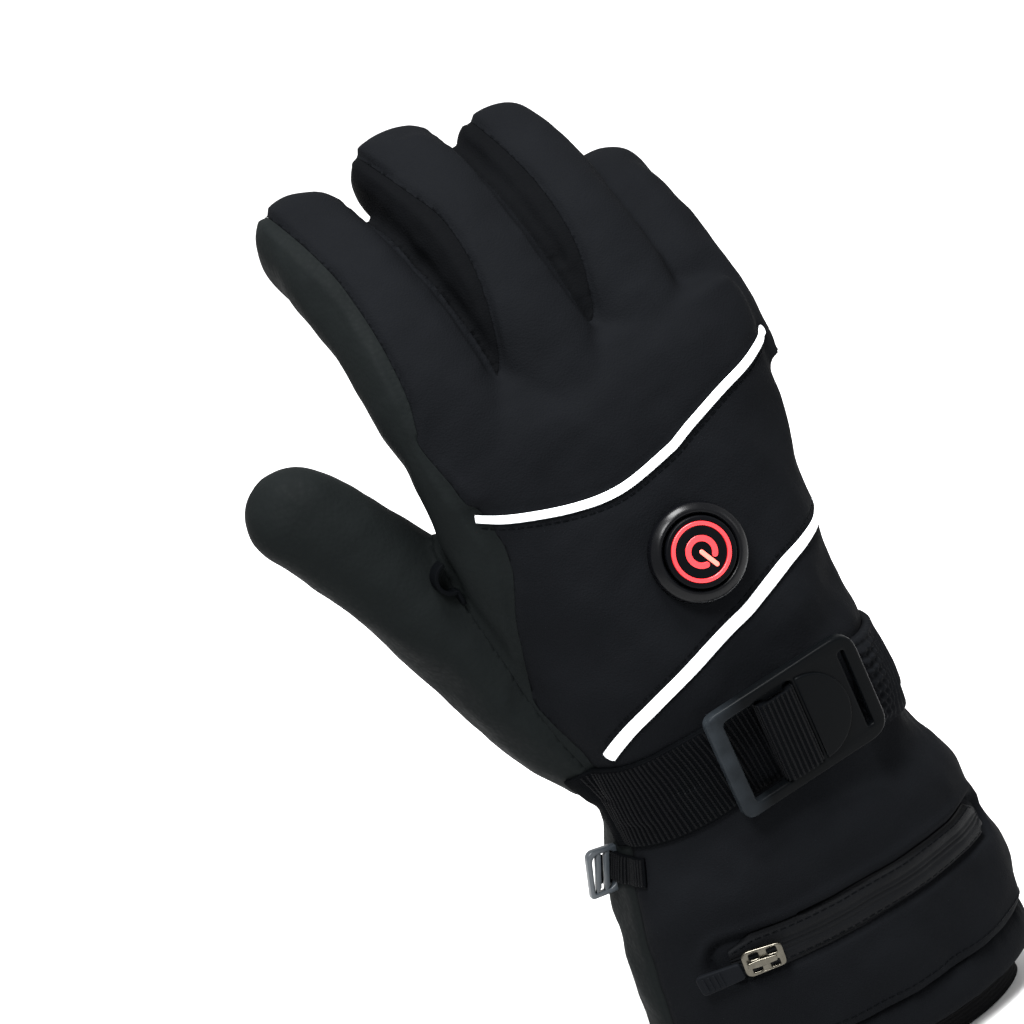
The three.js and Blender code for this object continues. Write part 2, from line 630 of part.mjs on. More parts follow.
// The wrist strap, its buckle and the gathered elastic that the buckle pulls on
const BUCKLE = { angle: 0, z: WRIST_Z + 7, spin: 6 };
const STRAP_PATH = [
  { angle: -86, z: WRIST_Z - 3 },
  { angle: -50, z: WRIST_Z - 1 },
  { angle: -15, z: WRIST_Z + 4 },
  { angle: 8, z: WRIST_Z + 6 },
];
const CASING_PATH = [
  { angle: 33, z: WRIST_Z + 4 },
  { angle: 65, z: WRIST_Z + 1 },
  { angle: 110, z: WRIST_Z - 1 },
  { angle: 168, z: WRIST_Z - 1 },
];
const CASING_RISE = 3.5; // how much thicker it is where it comes out of the buckle
const casingHeight = (u, v) =>
  (CASING_THICKNESS + CASING_RISE * bell(u / 0.16)) * (1 - 1.6 * v * v) -
  RIB_DEPTH * (0.5 + 0.5 * Math.cos(u * CASING_RIBS * FULL_TURN));

const buckleStart = -BUCKLE_LENGTH / 2;
const buckleEnd = BUCKLE_LENGTH / 2;
const windowHalf = BUCKLE_WIDTH / 2 - 3.5;
const wrapBar = { from: buckleStart + 0.36 * BUCKLE_LENGTH, to: buckleStart + 0.51 * BUCKLE_LENGTH };
const backSlot = { from: buckleEnd - 0.12 * BUCKLE_LENGTH, to: buckleEnd - 0.08 * BUCKLE_LENGTH };
const WRAP_ROOM = STRAP_THICKNESS + 2 * GAP; // what the webbing takes on each side of the bar
const TAB_RISE = 0.8;
const BUCKLE_BRIDGE = 0.45; // the flat buckle spans the hollow of the wrist

function buckleSolid() {
  const frame = roundedRectangle(buckleStart, buckleEnd, BUCKLE_WIDTH / 2, 3);
  frame.holes.push(roundedRectangle(buckleStart + BUCKLE_BAR, wrapBar.from, windowHalf, 1));
  frame.holes.push(roundedRectangle(wrapBar.to, wrapBar.to + WRAP_ROOM, windowHalf, 1));
  frame.holes.push(roundedRectangle(backSlot.from, backSlot.to, windowHalf - 1, 0.8));
  const tab = new THREE.Shape();
  const tabStart = wrapBar.to + WRAP_ROOM + 1;
  tab.absellipse(tabStart, 0, backSlot.from - tabStart - 2, windowHalf, -Math.PI / 2, Math.PI / 2);
  return plate(frame, 0, BUCKLE_THICKNESS).add(
    plate(tab, BUCKLE_THICKNESS / 2, BUCKLE_THICKNESS + TAB_RISE, 8),
  );
}

// The webbing's turn over the buckle's inner bar, drawn in side view and given the strap's width.
function strapTurn() {
  const inner = { from: wrapBar.from - GAP, to: wrapBar.to + GAP, top: BUCKLE_THICKNESS + GAP };
  const outer = { from: inner.from - STRAP_THICKNESS, to: inner.to + STRAP_THICKNESS };
  const top = inner.top + STRAP_THICKNESS;
  const side = new THREE.Shape();
  side.moveTo(outer.from, GAP);
  side.lineTo(inner.from, GAP);
  side.lineTo(inner.from, inner.top);
  side.lineTo(inner.to, inner.top);
  side.lineTo(inner.to, GAP);
  side.lineTo(outer.to, GAP);
  side.lineTo(outer.to, top - STRAP_THICKNESS);
  side.lineTo(outer.to - STRAP_THICKNESS, top);
  side.lineTo(outer.from + STRAP_THICKNESS, top);
  side.lineTo(outer.from, top - STRAP_THICKNESS);
  const turned = new THREE.Matrix4().makeRotationX(Math.PI / 2);
  turned.setPosition(0, STRAP_WIDTH / 2, 0);
  return plate(side, 0, STRAP_WIDTH).transform(turned.toArray());
}

// The button: a domed bezel on the skin and a round cap that sinks into it
const BUTTON = { angle: -6, z: handPlace(0.525), leanAcross: -5, leanAlong: -5 };
const BEZEL_FLOOR = 1.4;
const BEZEL_RIM = 0.8;
const BEZEL_SKIRT = 4; // cut off again where it meets the skin
const CAP_CLEARANCE = 0.5;
const GROOVE_DEPTH = 0.8;
const LIGHT_RISE = 0.1;
const ROUND_STEPS = 24;
const SIGN_STEPS = 5; // to each curve of the sign's outline
const lathe = (profile) => {
  const outline = profile.map(([radius, height]) => new THREE.Vector2(radius, height));
  return fromGeometry(new THREE.LatheGeometry(outline, ROUND_STEPS).rotateX(Math.PI / 2));
};
const closedRing = (inner, outer, low, high) =>
  lathe([[inner, low], [outer, low], [outer, high], [inner, high], [inner, low]]);

function bezelSolid() {
  const inner = CAP_RADIUS + CAP_CLEARANCE;
  return lathe([
    [0, -BEZEL_SKIRT],
    [BUTTON_RADIUS, -BEZEL_SKIRT],
    [BUTTON_RADIUS, BUTTON_HEIGHT * 0.45],
    [BUTTON_RADIUS - 0.9, BUTTON_HEIGHT * 0.8],
    [BUTTON_RADIUS - 2, BUTTON_HEIGHT],
    [inner + BEZEL_RIM, BUTTON_HEIGHT],
    [inner, BUTTON_HEIGHT - BEZEL_RIM / 2],
    [inner, BEZEL_FLOOR],
    [0, BEZEL_FLOOR],
  ]);
}

// The power sign is an arc and a bar. Each is one flat outline, let into the cap with a gap around it.
const SIGN = { turn: 28, opening: 60, barFrom: 0, barTo: 5.2 };
function arcShape(grow) {
  const middle = SYMBOL_RADIUS - SYMBOL_WIDTH / 2;
  const half = SYMBOL_WIDTH / 2 + grow;
  const from = (-90 + SIGN.turn + SIGN.opening / 2) * RADIANS;
  const to = (270 + SIGN.turn - SIGN.opening / 2) * RADIANS;
  const shape = new THREE.Shape();
  shape.absarc(0, 0, middle + half, from, to);
  shape.absarc(middle * Math.cos(to), middle * Math.sin(to), half, to, to + Math.PI);
  shape.absarc(0, 0, middle - half, to, from, true);
  shape.absarc(middle * Math.cos(from), middle * Math.sin(from), half, from + Math.PI, from + FULL_TURN);
  return shape;
}
function barShape(grow) {
  const half = SYMBOL_WIDTH * 0.4 + grow;
  const down = (-90 + SIGN.turn) * RADIANS;
  const end = (reach) => [reach * Math.cos(down), reach * Math.sin(down)];
  const shape = new THREE.Shape();
  shape.absarc(...end(SIGN.barTo), half, down - Math.PI / 2, down + Math.PI / 2);
  shape.absarc(...end(SIGN.barFrom), half, down + Math.PI / 2, down + 1.5 * Math.PI);
  return shape;
}
const capTop = CAP_HEIGHT;
const capBottom = BEZEL_FLOOR + BUTTON_TRAVEL + GAP;
const lightFloor = capTop - GROOVE_DEPTH;
function capSolid() {
  const body = lathe([
    [0, capBottom],
    [CAP_RADIUS, capBottom],
    [CAP_RADIUS, capTop - 0.7],
    [CAP_RADIUS - 0.7, capTop],
    [0, capTop],
  ]);
  const floor = lightFloor - GAP;
  const groove = closedRing(LIGHT_RADIUS - LIGHT_WIDTH - GAP, LIGHT_RADIUS + GAP, floor, capTop + 1);
  const cuts = [arcShape(GAP), barShape(GAP)].map((shape) => plate(shape, floor, capTop + 1, SIGN_STEPS));
  return cuts.reduce((left, cut) => left.subtract(cut), body.subtract(groove));
}

// The zip on the gauntlet: its tape, the slider and the pull
const ZIP_Z = 0.515 * CUFF_LENGTH;
const ZIP_PATH = [
  { angle: -42, z: ZIP_Z - 0.5 },
  { angle: -10, z: ZIP_Z },
  { angle: 25, z: ZIP_Z + 0.5 },
  { angle: 56, z: ZIP_Z + 0.5 },
];
const zipWidth = (u) => ZIP_WIDTH * Math.min(1, 0.55 + u * 5, 0.6 + (1 - u) * 12);
const SLIDER = { angle: -32, z: ZIP_Z - 1 };
const sliderSeat = seatAt(SLIDER.angle, SLIDER.z, ZIP_HEIGHT + 3 * GAP);
function sliderSolid() {
  const base = roundedRectangle(-SLIDER_LENGTH / 2, SLIDER_LENGTH / 2, SLIDER_WIDTH / 2, 1);
  const crown = roundedRectangle(-SLIDER_LENGTH * 0.36, SLIDER_LENGTH * 0.3, SLIDER_WIDTH * 0.2, 0.8);
  return plate(base, 0, SLIDER_HEIGHT / 2).add(plate(crown, SLIDER_HEIGHT / 4, SLIDER_HEIGHT));
}
const PULL_DROOP = 8; // degrees
const pullSeat = sliderSeat.clone().multiply(
  new THREE.Matrix4()
    .makeTranslation(-SLIDER_LENGTH / 2 - GAP, -SLIDER_WIDTH * 0.15, 0)
    .multiply(new THREE.Matrix4().makeRotationZ(PULL_DROOP * RADIANS))
    .multiply(new THREE.Matrix4().makeRotationY(-14 * RADIANS)),
);
const pullSolid = () => plate(roundedRectangle(-PULL_LENGTH, 0, PULL_WIDTH / 2, 1.2), 0, PULL_THICKNESS);

// The side clip: it stands out from the thumb's side of the gauntlet and faces the back of the hand.
const CLIP_DROP = 19.4; // from the wrist seam down to the middle of the clip
const CLIP_Z = WRIST_Z - CLIP_DROP;
const CLIP_ANGLE = -92;
const CLIP_BAR = 2.6;
const CLIP_RIM = 1.5;
const TAB_PATH = [
  { angle: -66, z: CLIP_Z },
  { angle: -78, z: CLIP_Z },
  { angle: CLIP_ANGLE + 3, z: CLIP_Z },
];
function clipSeat() {
  const { point, around, normal } = skinFrame(CLIP_ANGLE * RADIANS, CLIP_Z);
  const inward = normal.clone().negate();
  const face = around.clone().normalize();
  const matrix = new THREE.Matrix4().makeBasis(inward, face.clone().cross(inward), face);
  return matrix.setPosition(point.addScaledVector(normal, CLIP_WIDTH / 2 + WEBBING_THICKNESS));
}
function clipTab() {
  const onSkin = patch(ribbon(TAB_PATH, () => CLIP_TAB_WIDTH), 6, 1, () => WEBBING_THICKNESS);
  const low = CLIP_THICKNESS / 2 + GAP;
  const reach = CLIP_WIDTH / 2 + WEBBING_THICKNESS - GAP;
  const overClip = roundedRectangle(-CLIP_BAR / 2, reach, CLIP_TAB_WIDTH / 2, 0.5);
  return onSkin.add(seated(plate(overClip, low, low + WEBBING_THICKNESS), clipSeat()));
}
function clipSolid() {
  const half = CLIP_WIDTH / 2;
  const outline = new THREE.Shape();
  outline.moveTo(-half * 0.3, CLIP_LENGTH / 2);
  outline.quadraticCurveTo(-half, CLIP_LENGTH / 2, -half, CLIP_LENGTH * 0.15);
  outline.quadraticCurveTo(-half, -CLIP_LENGTH * 0.3, 0, -CLIP_LENGTH / 2);
  outline.quadraticCurveTo(half, -CLIP_LENGTH * 0.4, half, CLIP_LENGTH * 0.1);
  outline.quadraticCurveTo(half, CLIP_LENGTH / 2, -half * 0.3, CLIP_LENGTH / 2);
  const slots = [1, -1].map((side) => {
    const near = side * (CLIP_BAR / 2);
    const far = side * (half - CLIP_RIM);
    const slot = new THREE.Path();
    slot.moveTo(near, -CLIP_LENGTH * 0.24);
    slot.lineTo(near, CLIP_LENGTH * 0.32);
    slot.lineTo(far, CLIP_LENGTH * 0.2);
    slot.lineTo(far, -CLIP_LENGTH * 0.12);
    return slot;
  });
  outline.holes.push(...slots);
  return plate(outline, -CLIP_THICKNESS / 2, CLIP_THICKNESS / 2, 6);
}

// A small webbing loop where the thumb leaves the palm
const LOOP = { angle: -93, z: handPlace(0.655) };
const LOOP_TAIL = 4;
function loopSolid() {
  const steps = 8;
  const half = LOOP_LENGTH / 2;
  const arch = Array.from({ length: steps + 1 }, (_, i) => (i / steps) * Math.PI);
  const section = (reach, out, tilt) =>
    [[-1, -1], [1, -1], [1, 1], [-1, 1]].map(([across, layer]) => {
      const x = (across * LOOP_WIDTH) / 2;
      const thick = (layer * WEBBING_THICKNESS) / 2;
      return vector(x, reach + thick * Math.cos(tilt), out + thick * Math.sin(tilt));
    });
  const lie = WEBBING_THICKNESS / 2;
  const bow = arch.map((turn) => section(half * Math.cos(turn), lie + LOOP_REACH * Math.sin(turn), turn));
  const tail = [0.5, 1].map((share) => section(-half - share * LOOP_TAIL, lie, 1.5 * Math.PI));
  return loft([...bow, ...tail]);
}

// Finishes
const SHELL_FABRIC = { color: 0x1a1b1d, roughness: 0.78, metalness: 0 };
const PALM_HIDE = { color: 0x222624, roughness: 0.7, metalness: 0 };
const LINING = { color: 0x0f1011, roughness: 0.9, metalness: 0 };
const WEBBING = { color: 0x101113, roughness: 0.85, metalness: 0 };
const PLASTIC = { color: 0x16181a, roughness: 0.45, metalness: 0 };
const RUBBER = { color: 0x14171c, roughness: 0.6, metalness: 0 };
const REFLECTIVE = { color: 0xeef2f5, roughness: 0.4, metalness: 0 };
const STEEL = { color: 0x6b675c, roughness: 0.35, metalness: 0.9 };
const LIGHT = { color: 0xd8302e, roughness: 0.4, metalness: 0 };

const glove = new THREE.Group();
function add(name, solid, finish) {
  const { numProp, vertProperties, triVerts } = solid.getMesh();
  const count = vertProperties.length / numProp;
  const corners = new Float32Array(count * 3);
  for (let i = 0; i < count; i += 1) {
    corners.set(vertProperties.subarray(i * numProp, i * numProp + 3), i * 3);
  }
  const geometry = new THREE.BufferGeometry();
  geometry.setAttribute("position", new THREE.BufferAttribute(corners, 3));
  geometry.setIndex(new THREE.BufferAttribute(new Uint32Array(triVerts), 1));
  geometry.computeVertexNormals();
  const mesh = new THREE.Mesh(geometry, new THREE.MeshStandardMaterial(finish));
  mesh.name = name;
  glove.add(mesh);
}

add("back_panel", handShell.intersect(backBlock(0)), SHELL_FABRIC);
add("palm_panel", handShell.subtract(backBlock(GAP)).subtract(thumbHole), PALM_HIDE);
const thumbShell = thumb(0, THUMB_RINGS, THUMB_SIDES).subtract(thumbInner);
add("thumb_panel", thumbShell.intersect(aboveWrist).subtract(handGrown), PALM_HIDE);
add("gauntlet_back", gauntlet.intersect(cuffBackBlock(0)), SHELL_FABRIC);
add("gauntlet_palm", gauntlet.subtract(cuffBackBlock(GAP)), SHELL_FABRIC);
add("cuff_hem", hoop(2 * HEM_GATHERS, HEM_CORNERS, hemPoint), SHELL_FABRIC);
add("inner_cuff", hoop(OUTER_SIDES, 4, innerCuffPoint), LINING);
add("piping_upper", piping(PIPING_UPPER), REFLECTIVE);
add("piping_lower", piping(PIPING_LOWER), REFLECTIVE);

const strap = patch(ribbon(STRAP_PATH, () => STRAP_WIDTH), 16, 2, () => STRAP_THICKNESS);
const buckleTurn = new THREE.Matrix4().makeRotationZ(BUCKLE.spin * RADIANS);
const buckleLift = STRAP_THICKNESS + 2 * GAP + BUCKLE_BRIDGE;
const buckleSeat = seatAt(BUCKLE.angle, BUCKLE.z, buckleLift).multiply(buckleTurn);
add("wrist_strap", strap.subtract(thumbGrown), WEBBING);
add("strap_buckle", seated(buckleSolid(), buckleSeat), PLASTIC);
add("strap_turn", seated(strapTurn(), buckleSeat), WEBBING);
const casing = patch(ribbon(CASING_PATH, () => CASING_WIDTH), 2 * CASING_RIBS, 2, casingHeight);
add("elastic_casing", casing, SHELL_FABRIC);

const buttonSeat = seatAt(BUTTON.angle, BUTTON.z, 0, BUTTON.leanAcross, BUTTON.leanAlong);
add("button_bezel", seated(bezelSolid(), buttonSeat).subtract(handGrown), PLASTIC);
add("button_cap", seated(capSolid(), buttonSeat), PLASTIC);
const lightTop = capTop + LIGHT_RISE;
const lightRing = closedRing(LIGHT_RADIUS - LIGHT_WIDTH, LIGHT_RADIUS, lightFloor, lightTop);
add("button_light_ring", seated(lightRing, buttonSeat), LIGHT);
add("button_sign_arc", seated(plate(arcShape(0), lightFloor, lightTop, SIGN_STEPS), buttonSeat), LIGHT);
add("button_sign_bar", seated(plate(barShape(0), lightFloor, lightTop, SIGN_STEPS), buttonSeat), LIGHT);

add("zip_tape", patch(ribbon(ZIP_PATH, zipWidth), 16, 1, () => ZIP_HEIGHT), SHELL_FABRIC);
add("zip_slider", seated(sliderSolid(), sliderSeat), STEEL);
add("zip_pull", seated(pullSolid(), pullSeat), RUBBER);
add("clip_tab", clipTab(), WEBBING);
add("side_clip", seated(clipSolid(), clipSeat()), PLASTIC);
add("palm_loop", seated(loopSolid(), seatAt(LOOP.angle, LOOP.z, GAP)), WEBBING);

export default glove;
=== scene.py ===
"""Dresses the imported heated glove: padded cloth shells, trim, wrist strap, power button and studio.

The cloth pieces follow the same girths, limbs and paths as the solids, in millimetres, and are made
finer: lofts are fused, swollen by a cloth simulation and then cut along the glove's seams.
"""

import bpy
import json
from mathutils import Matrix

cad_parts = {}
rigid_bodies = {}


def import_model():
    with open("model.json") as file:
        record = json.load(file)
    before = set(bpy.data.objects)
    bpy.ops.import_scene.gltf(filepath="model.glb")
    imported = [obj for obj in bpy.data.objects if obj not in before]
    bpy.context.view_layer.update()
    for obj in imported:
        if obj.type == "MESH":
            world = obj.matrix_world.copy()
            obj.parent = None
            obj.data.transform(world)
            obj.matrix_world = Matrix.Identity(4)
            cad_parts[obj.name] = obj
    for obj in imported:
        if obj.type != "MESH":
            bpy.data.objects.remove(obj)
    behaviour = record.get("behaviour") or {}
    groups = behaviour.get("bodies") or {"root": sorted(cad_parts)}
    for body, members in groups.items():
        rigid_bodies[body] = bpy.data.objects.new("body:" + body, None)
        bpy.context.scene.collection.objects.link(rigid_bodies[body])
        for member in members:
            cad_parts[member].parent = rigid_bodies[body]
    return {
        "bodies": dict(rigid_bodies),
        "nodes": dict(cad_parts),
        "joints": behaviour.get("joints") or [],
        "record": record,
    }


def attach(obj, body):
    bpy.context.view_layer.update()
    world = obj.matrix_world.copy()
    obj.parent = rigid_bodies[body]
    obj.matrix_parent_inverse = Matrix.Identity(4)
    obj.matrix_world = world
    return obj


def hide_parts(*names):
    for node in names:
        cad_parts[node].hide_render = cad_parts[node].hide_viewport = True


bl_info = {
    "name": "Heated Glove Dressing",
    "version": (1, 0, 0),
    "blender": (4, 5, 0),
    "location": "3D View > Sidebar > Glove",
    "description": "Builds the padded shells, trim, strap, button and studio of a heated glove",
    "category": "Object",
}

import json
import math

import bmesh
import bpy
import numpy as np
from mathutils import Matrix, Vector
from mathutils.bvhtree import BVHTree
from mathutils.kdtree import KDTree

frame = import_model()

MM = 0.001
RADIANS = math.pi / 180
FULL_TURN = 2 * math.pi
GLOVE = "glove"
BUTTON_BODY = "button"

# Sizes of the solids, in millimetres
CUFF_LENGTH = 102.0
HAND_LENGTH = 112.0
CUFF_HALF = (52.0, 34.0)
WRIST_HALF = (43.0, 30.0)
PALM_HALF = (51.0, 23.0)
FINGER_LENGTH = 105.0
FINGER_HALF = (15.5, 15.0)
THUMB_LENGTH = 124.0
THUMB_HALF = 23.0
WALL = 4.0
WRIST_Z = CUFF_LENGTH
INNER_CUFF_REACH = 8.5
HEM_HEIGHT = 12.5
HEM_TOP = INNER_CUFF_REACH + HEM_HEIGHT


def cuff_place(share):
    return share * CUFF_LENGTH


def hand_place(share):
    return CUFF_LENGTH + share * HAND_LENGTH


def read_table(keys, values, at):
    """Smooth reading of a column of values at its keys."""
    keys = np.asarray(keys, float)
    values = np.asarray(values, float)
    slopes = np.empty(len(keys))
    slopes[1:-1] = (values[2:] - values[:-2]) / (keys[2:] - keys[:-2])
    slopes[0] = (values[1] - values[0]) / (keys[1] - keys[0])
    slopes[-1] = (values[-1] - values[-2]) / (keys[-1] - keys[-2])
    row = np.clip(np.searchsorted(keys, at) - 1, 0, len(keys) - 2)
    span = keys[row + 1] - keys[row]
    share = np.clip((at - keys[row]) / span, 0, 1)
    squared = share**2
    cubed = share**3
    return (
        (2 * cubed - 3 * squared + 1) * values[row]
        + (cubed - 2 * squared + share) * span * slopes[row]
        + (3 * squared - 2 * cubed) * values[row + 1]
        + (cubed - squared) * span * slopes[row + 1]
    )


# Girths from the opening to the knuckles: height, the half width and depth that the row follows, and
# the shares of them that it reaches towards thumb, little finger, back and palm, and its squareness.
GIRTH_ROWS = [
    (cuff_place(0), CUFF_HALF, 0.99, 1.06, 0.94, 0.92, 2.15),
    (cuff_place(0.12), CUFF_HALF, 1.01, 1.09, 0.97, 0.95, 2.15),
    (cuff_place(0.3), CUFF_HALF, 1.03, 1.1, 1.02, 1.0, 2.2),
    (cuff_place(0.52), CUFF_HALF, 1.02, 1.03, 1.04, 1.0, 2.25),
    (cuff_place(0.74), CUFF_HALF, 0.96, 0.91, 1.0, 0.95, 2.35),
    (cuff_place(0.86), WRIST_HALF, 1.07, 0.97, 1.03, 1.0, 2.45),
    (cuff_place(0.97), WRIST_HALF, 1.07, 0.92, 1.0, 0.98, 2.45),
    (hand_place(0.07), WRIST_HALF, 1.11, 0.9, 1.04, 1.0, 2.45),
    (hand_place(0.2), WRIST_HALF, 1.23, 0.88, 1.07, 0.98, 2.4),
    (hand_place(0.42), PALM_HALF, 1.14, 0.73, 1.27, 1.12, 2.35),
    (hand_place(0.64), PALM_HALF, 1.22, 0.77, 1.08, 1.04, 2.4),
    (hand_place(0.83), PALM_HALF, 1.27, 0.79, 0.88, 0.98, 2.5),
    (hand_place(0.95), PALM_HALF, 1.28, 0.8, 0.66, 0.98, 2.6),
    (hand_place(1.03), PALM_HALF, 1.22, 0.76, 0.4, 0.84, 2.6),
]
GIRTH_Z = [row[0] for row in GIRTH_ROWS]
GIRTHS = [
    [row[2] * row[1][0] for row in GIRTH_ROWS],
    [row[3] * row[1][0] for row in GIRTH_ROWS],
    [row[4] * row[1][1] for row in GIRTH_ROWS],
    [row[5] * row[1][1] for row in GIRTH_ROWS],
    [row[6] for row in GIRTH_ROWS],
]
KNUCKLE_Z = GIRTH_Z[-1]

# Soft folds: angle, height, reach around in degrees, reach along, share of the fold depth
FOLD_DEPTH = 1.5
FOLDS = [
    (20, cuff_place(0.79), 60, 5.5, 0.9),
    (-40, cuff_place(0.68), 26, 7, -0.8),
    (58, cuff_place(0.67), 24, 8, -0.9),
    (40, hand_place(0.16), 40, 5, -0.6),
    (-20, cuff_place(0.35), 22, 12, -0.6),
    (75, cuff_place(0.38), 20, 9, -0.8),
    (-30, hand_place(0.26), 14, 11, -0.5),
    (84, hand_place(0.44), 16, 6, -1),
    (150, hand_place(0.3), 26, 7, 1),
    (190, hand_place(0.55), 30, 6, 1),
]


def bell(distance):
    return np.exp(-(distance**2))


def fold_depth(angle, z):
    depth = 0.0
    for fold_angle, fold_z, around, along, size in FOLDS:
        turn = (angle / RADIANS - fold_angle + 540) % 360 - 180
        depth = depth + FOLD_DEPTH * size * bell(turn / around) * bell((z - fold_z) / along)
    return depth


def skin(angle, z, inset=0.0):
    """Points of the glove's skin; angle 0 is the back of the hand and grows to the little finger."""
    angle, z = np.broadcast_arrays(np.asarray(angle, float), np.asarray(z, float))
    across = np.sin(angle)
    out = np.cos(angle)
    shrink = inset + (0.0 if inset > 0 else fold_depth(angle, z))
    radial, ulnar, dorsal, palmar, square = (read_table(GIRTH_Z, column, z) for column in GIRTHS)
    side = np.where(across < 0, radial, ulnar)
    face = np.where(out > 0, dorsal, palmar)
    reach = (np.abs(across) ** square + np.abs(out) ** square) ** (-1 / square)
    return np.stack([(side - shrink) * across * reach, -(face - shrink) * out * reach, z], -1)


# Steps for slopes: in radians or shares of a path, and in millimetres along the glove
NUDGE = 0.01
NUDGE_ALONG = 0.5


def unit(vectors):
    return vectors / np.maximum(np.linalg.norm(vectors, axis=-1, keepdims=True), 1e-12)


def skin_frame(angle, z):
    """Point, slope around, slope along and outward normal of the skin."""
    around = (skin(angle + NUDGE, z) - skin(angle - NUDGE, z)) / (2 * NUDGE)
    along = (skin(angle, z + NUDGE_ALONG) - skin(angle, z - NUDGE_ALONG)) / (2 * NUDGE_ALONG)
    return skin(angle, z), around, along, unit(np.cross(around, along))


# Fingers and thumb: forms are stations along the limb with shares of its half width and half depth
LIMB_SQUARE = 2.35
SPINE_STEPS = 60
FINGER_FORM = ([0, 0.2, 0.4, 0.6, 0.8, 1], [1.0, 1.0, 1.01, 1, 0.96, 0.9], [0.94, 0.97, 1, 1, 0.95, 0.88])
INDEX_ROOT = [0.14, 0.17, 0.07, 0.01, 0, 0]
FINGER_BEND = ([0, 0.25, 0.5, 0.75, 1], [10, 24, 44, 60, 68])
FINGERS = [
    {"across": -0.9, "forward": -0.08, "root": 0.82, "length": 0.97, "width": 1.0, "lean": -5},
    {"across": -0.3, "forward": -0.12, "root": 0.83, "length": 1.02, "width": 1.0, "lean": -3.5},
    {"across": 0.25, "forward": -0.04, "root": 0.82, "length": 0.95, "width": 0.95, "lean": -3.5},
    {"across": 0.66, "forward": 0.2, "root": 0.77, "length": 0.75, "width": 0.88, "lean": -4},
]
THUMB_FORM = ([0, 0.2, 0.45, 0.7, 1], [0.9, 1.0, 0.82, 0.68, 0.58], [0.86, 0.84, 0.74, 0.63, 0.56])
THUMB = {"across": -0.6, "forward": 0.3, "root": 0.065, "abduct": 33.5, "palmar": 9.5, "curl": 6}


def spine(start, length, lean_at, bend_at):
    """Points, directions, sides and ups along a limb's centre line."""
    at = np.linspace(0, 1, SPINE_STEPS + 1)
    lean = lean_at(at) * RADIANS
    bend = bend_at(at) * RADIANS
    along = np.stack([np.sin(lean) * np.cos(bend), np.sin(bend), np.cos(lean) * np.cos(bend)], -1)
    side = np.stack([np.cos(lean), np.zeros_like(lean), -np.sin(lean)], -1)
    steps = np.vstack([np.zeros(3), np.cumsum(along[:-1] * length / SPINE_STEPS, axis=0)])
    return {"point": start + steps, "along": along, "side": side, "up": np.cross(side, along)}


def limb_root(row):
    return np.array([row["across"] * PALM_HALF[0], row["forward"] * PALM_HALF[1], hand_place(row["root"])])


def finger_spine(row):
    lean = lambda at: np.full_like(at, row["lean"])
    bend = lambda at: read_table(*FINGER_BEND, at)
    return spine(limb_root(row), row["length"] * FINGER_LENGTH, lean, bend)


def thumb_spine():
    lean = lambda at: -THUMB["abduct"] - THUMB["curl"] * (at - 0.5)
    return spine(limb_root(THUMB), THUMB_LENGTH, lean, lambda at: np.full_like(at, THUMB["palmar"]))


DOME_RINGS = 9
DOME_END = 0.985


def limb_rings(stations, length, halves, form, inset, rings, sides):
    """Rings of points around a limb, ending in a dome at its tip."""
    keys, widths, depths = form
    tip = halves[0] * widths[-1] - inset
    dome_start = length - inset - tip
    turns = np.linspace(0, DOME_END, DOME_RINGS + 1)[1:] * math.pi / 2
    reach = np.concatenate([np.linspace(0, dome_start, rings), dome_start + tip * np.sin(turns)])
    at = reach / length
    step = np.minimum(SPINE_STEPS - 1, (at * SPINE_STEPS).astype(int))
    blend = (at * SPINE_STEPS - step)[:, None]
    centre = stations["point"][step] * (1 - blend) + stations["point"][step + 1] * blend
    rounding = np.sqrt(1 - np.clip((reach - dome_start) / tip, 0, 1) ** 2)
    wide = (read_table(keys, widths, at) * halves[0] - inset) * rounding
    deep = (read_table(keys, depths, at) * halves[1] - inset) * rounding
    turn = np.arange(sides) / sides * FULL_TURN
    across = np.sin(turn)
    out = np.cos(turn)
    corner = (np.abs(across) ** LIMB_SQUARE + np.abs(out) ** LIMB_SQUARE) ** (-1 / LIMB_SQUARE)
    sideways = (wide[:, None] * across * corner)[..., None] * stations["side"][step][:, None]
    upward = (deep[:, None] * out * corner)[..., None] * stations["up"][step][:, None]
    return centre[:, None] + sideways + upward


def finger_form(row):
    """Shares of width and depth along a finger; the index finger is broader at its root."""
    keys, widths, depths = FINGER_FORM
    if row is FINGERS[0]:
        widths = [width + more for width, more in zip(widths, INDEX_ROOT)]
    return keys, widths, depths


def finger_rings(row, inset, rings, sides):
    halves = (row["width"] * FINGER_HALF[0], row["width"] * FINGER_HALF[1])
    length = row["length"] * FINGER_LENGTH
    return limb_rings(finger_spine(row), length, halves, finger_form(row), inset, rings, sides)


def thumb_rings(inset, rings, sides):
    return limb_rings(thumb_spine(), THUMB_LENGTH, (THUMB_HALF, THUMB_HALF), THUMB_FORM, inset, rings, sides)


# Rings that close the hand above the knuckles: share of the last ring, and rise above it
CROWN = [(0.95, 0.8), (0.86, 1.6), (0.7, 2.6), (0.5, 3.3), (0.25, 3.8)]


def skin_rings(from_z, to_z, steps, sides, inset):
    z = np.linspace(from_z, to_z, steps + 1)[:, None]
    turn = (np.arange(sides) / sides * FULL_TURN)[None, :]
    return skin(turn, z, inset)


def hand_rings(from_z, steps, sides, inset):
    rings = skin_rings(from_z, KNUCKLE_Z - max(0.0, inset), steps, sides, inset)
    rim = rings[-1]
    middle = rim.mean(axis=0)
    crown = [middle + (rim - middle) * share + np.array([0, 0, rise]) for share, rise in CROWN]
    return np.concatenate([rings, np.array(crown)])


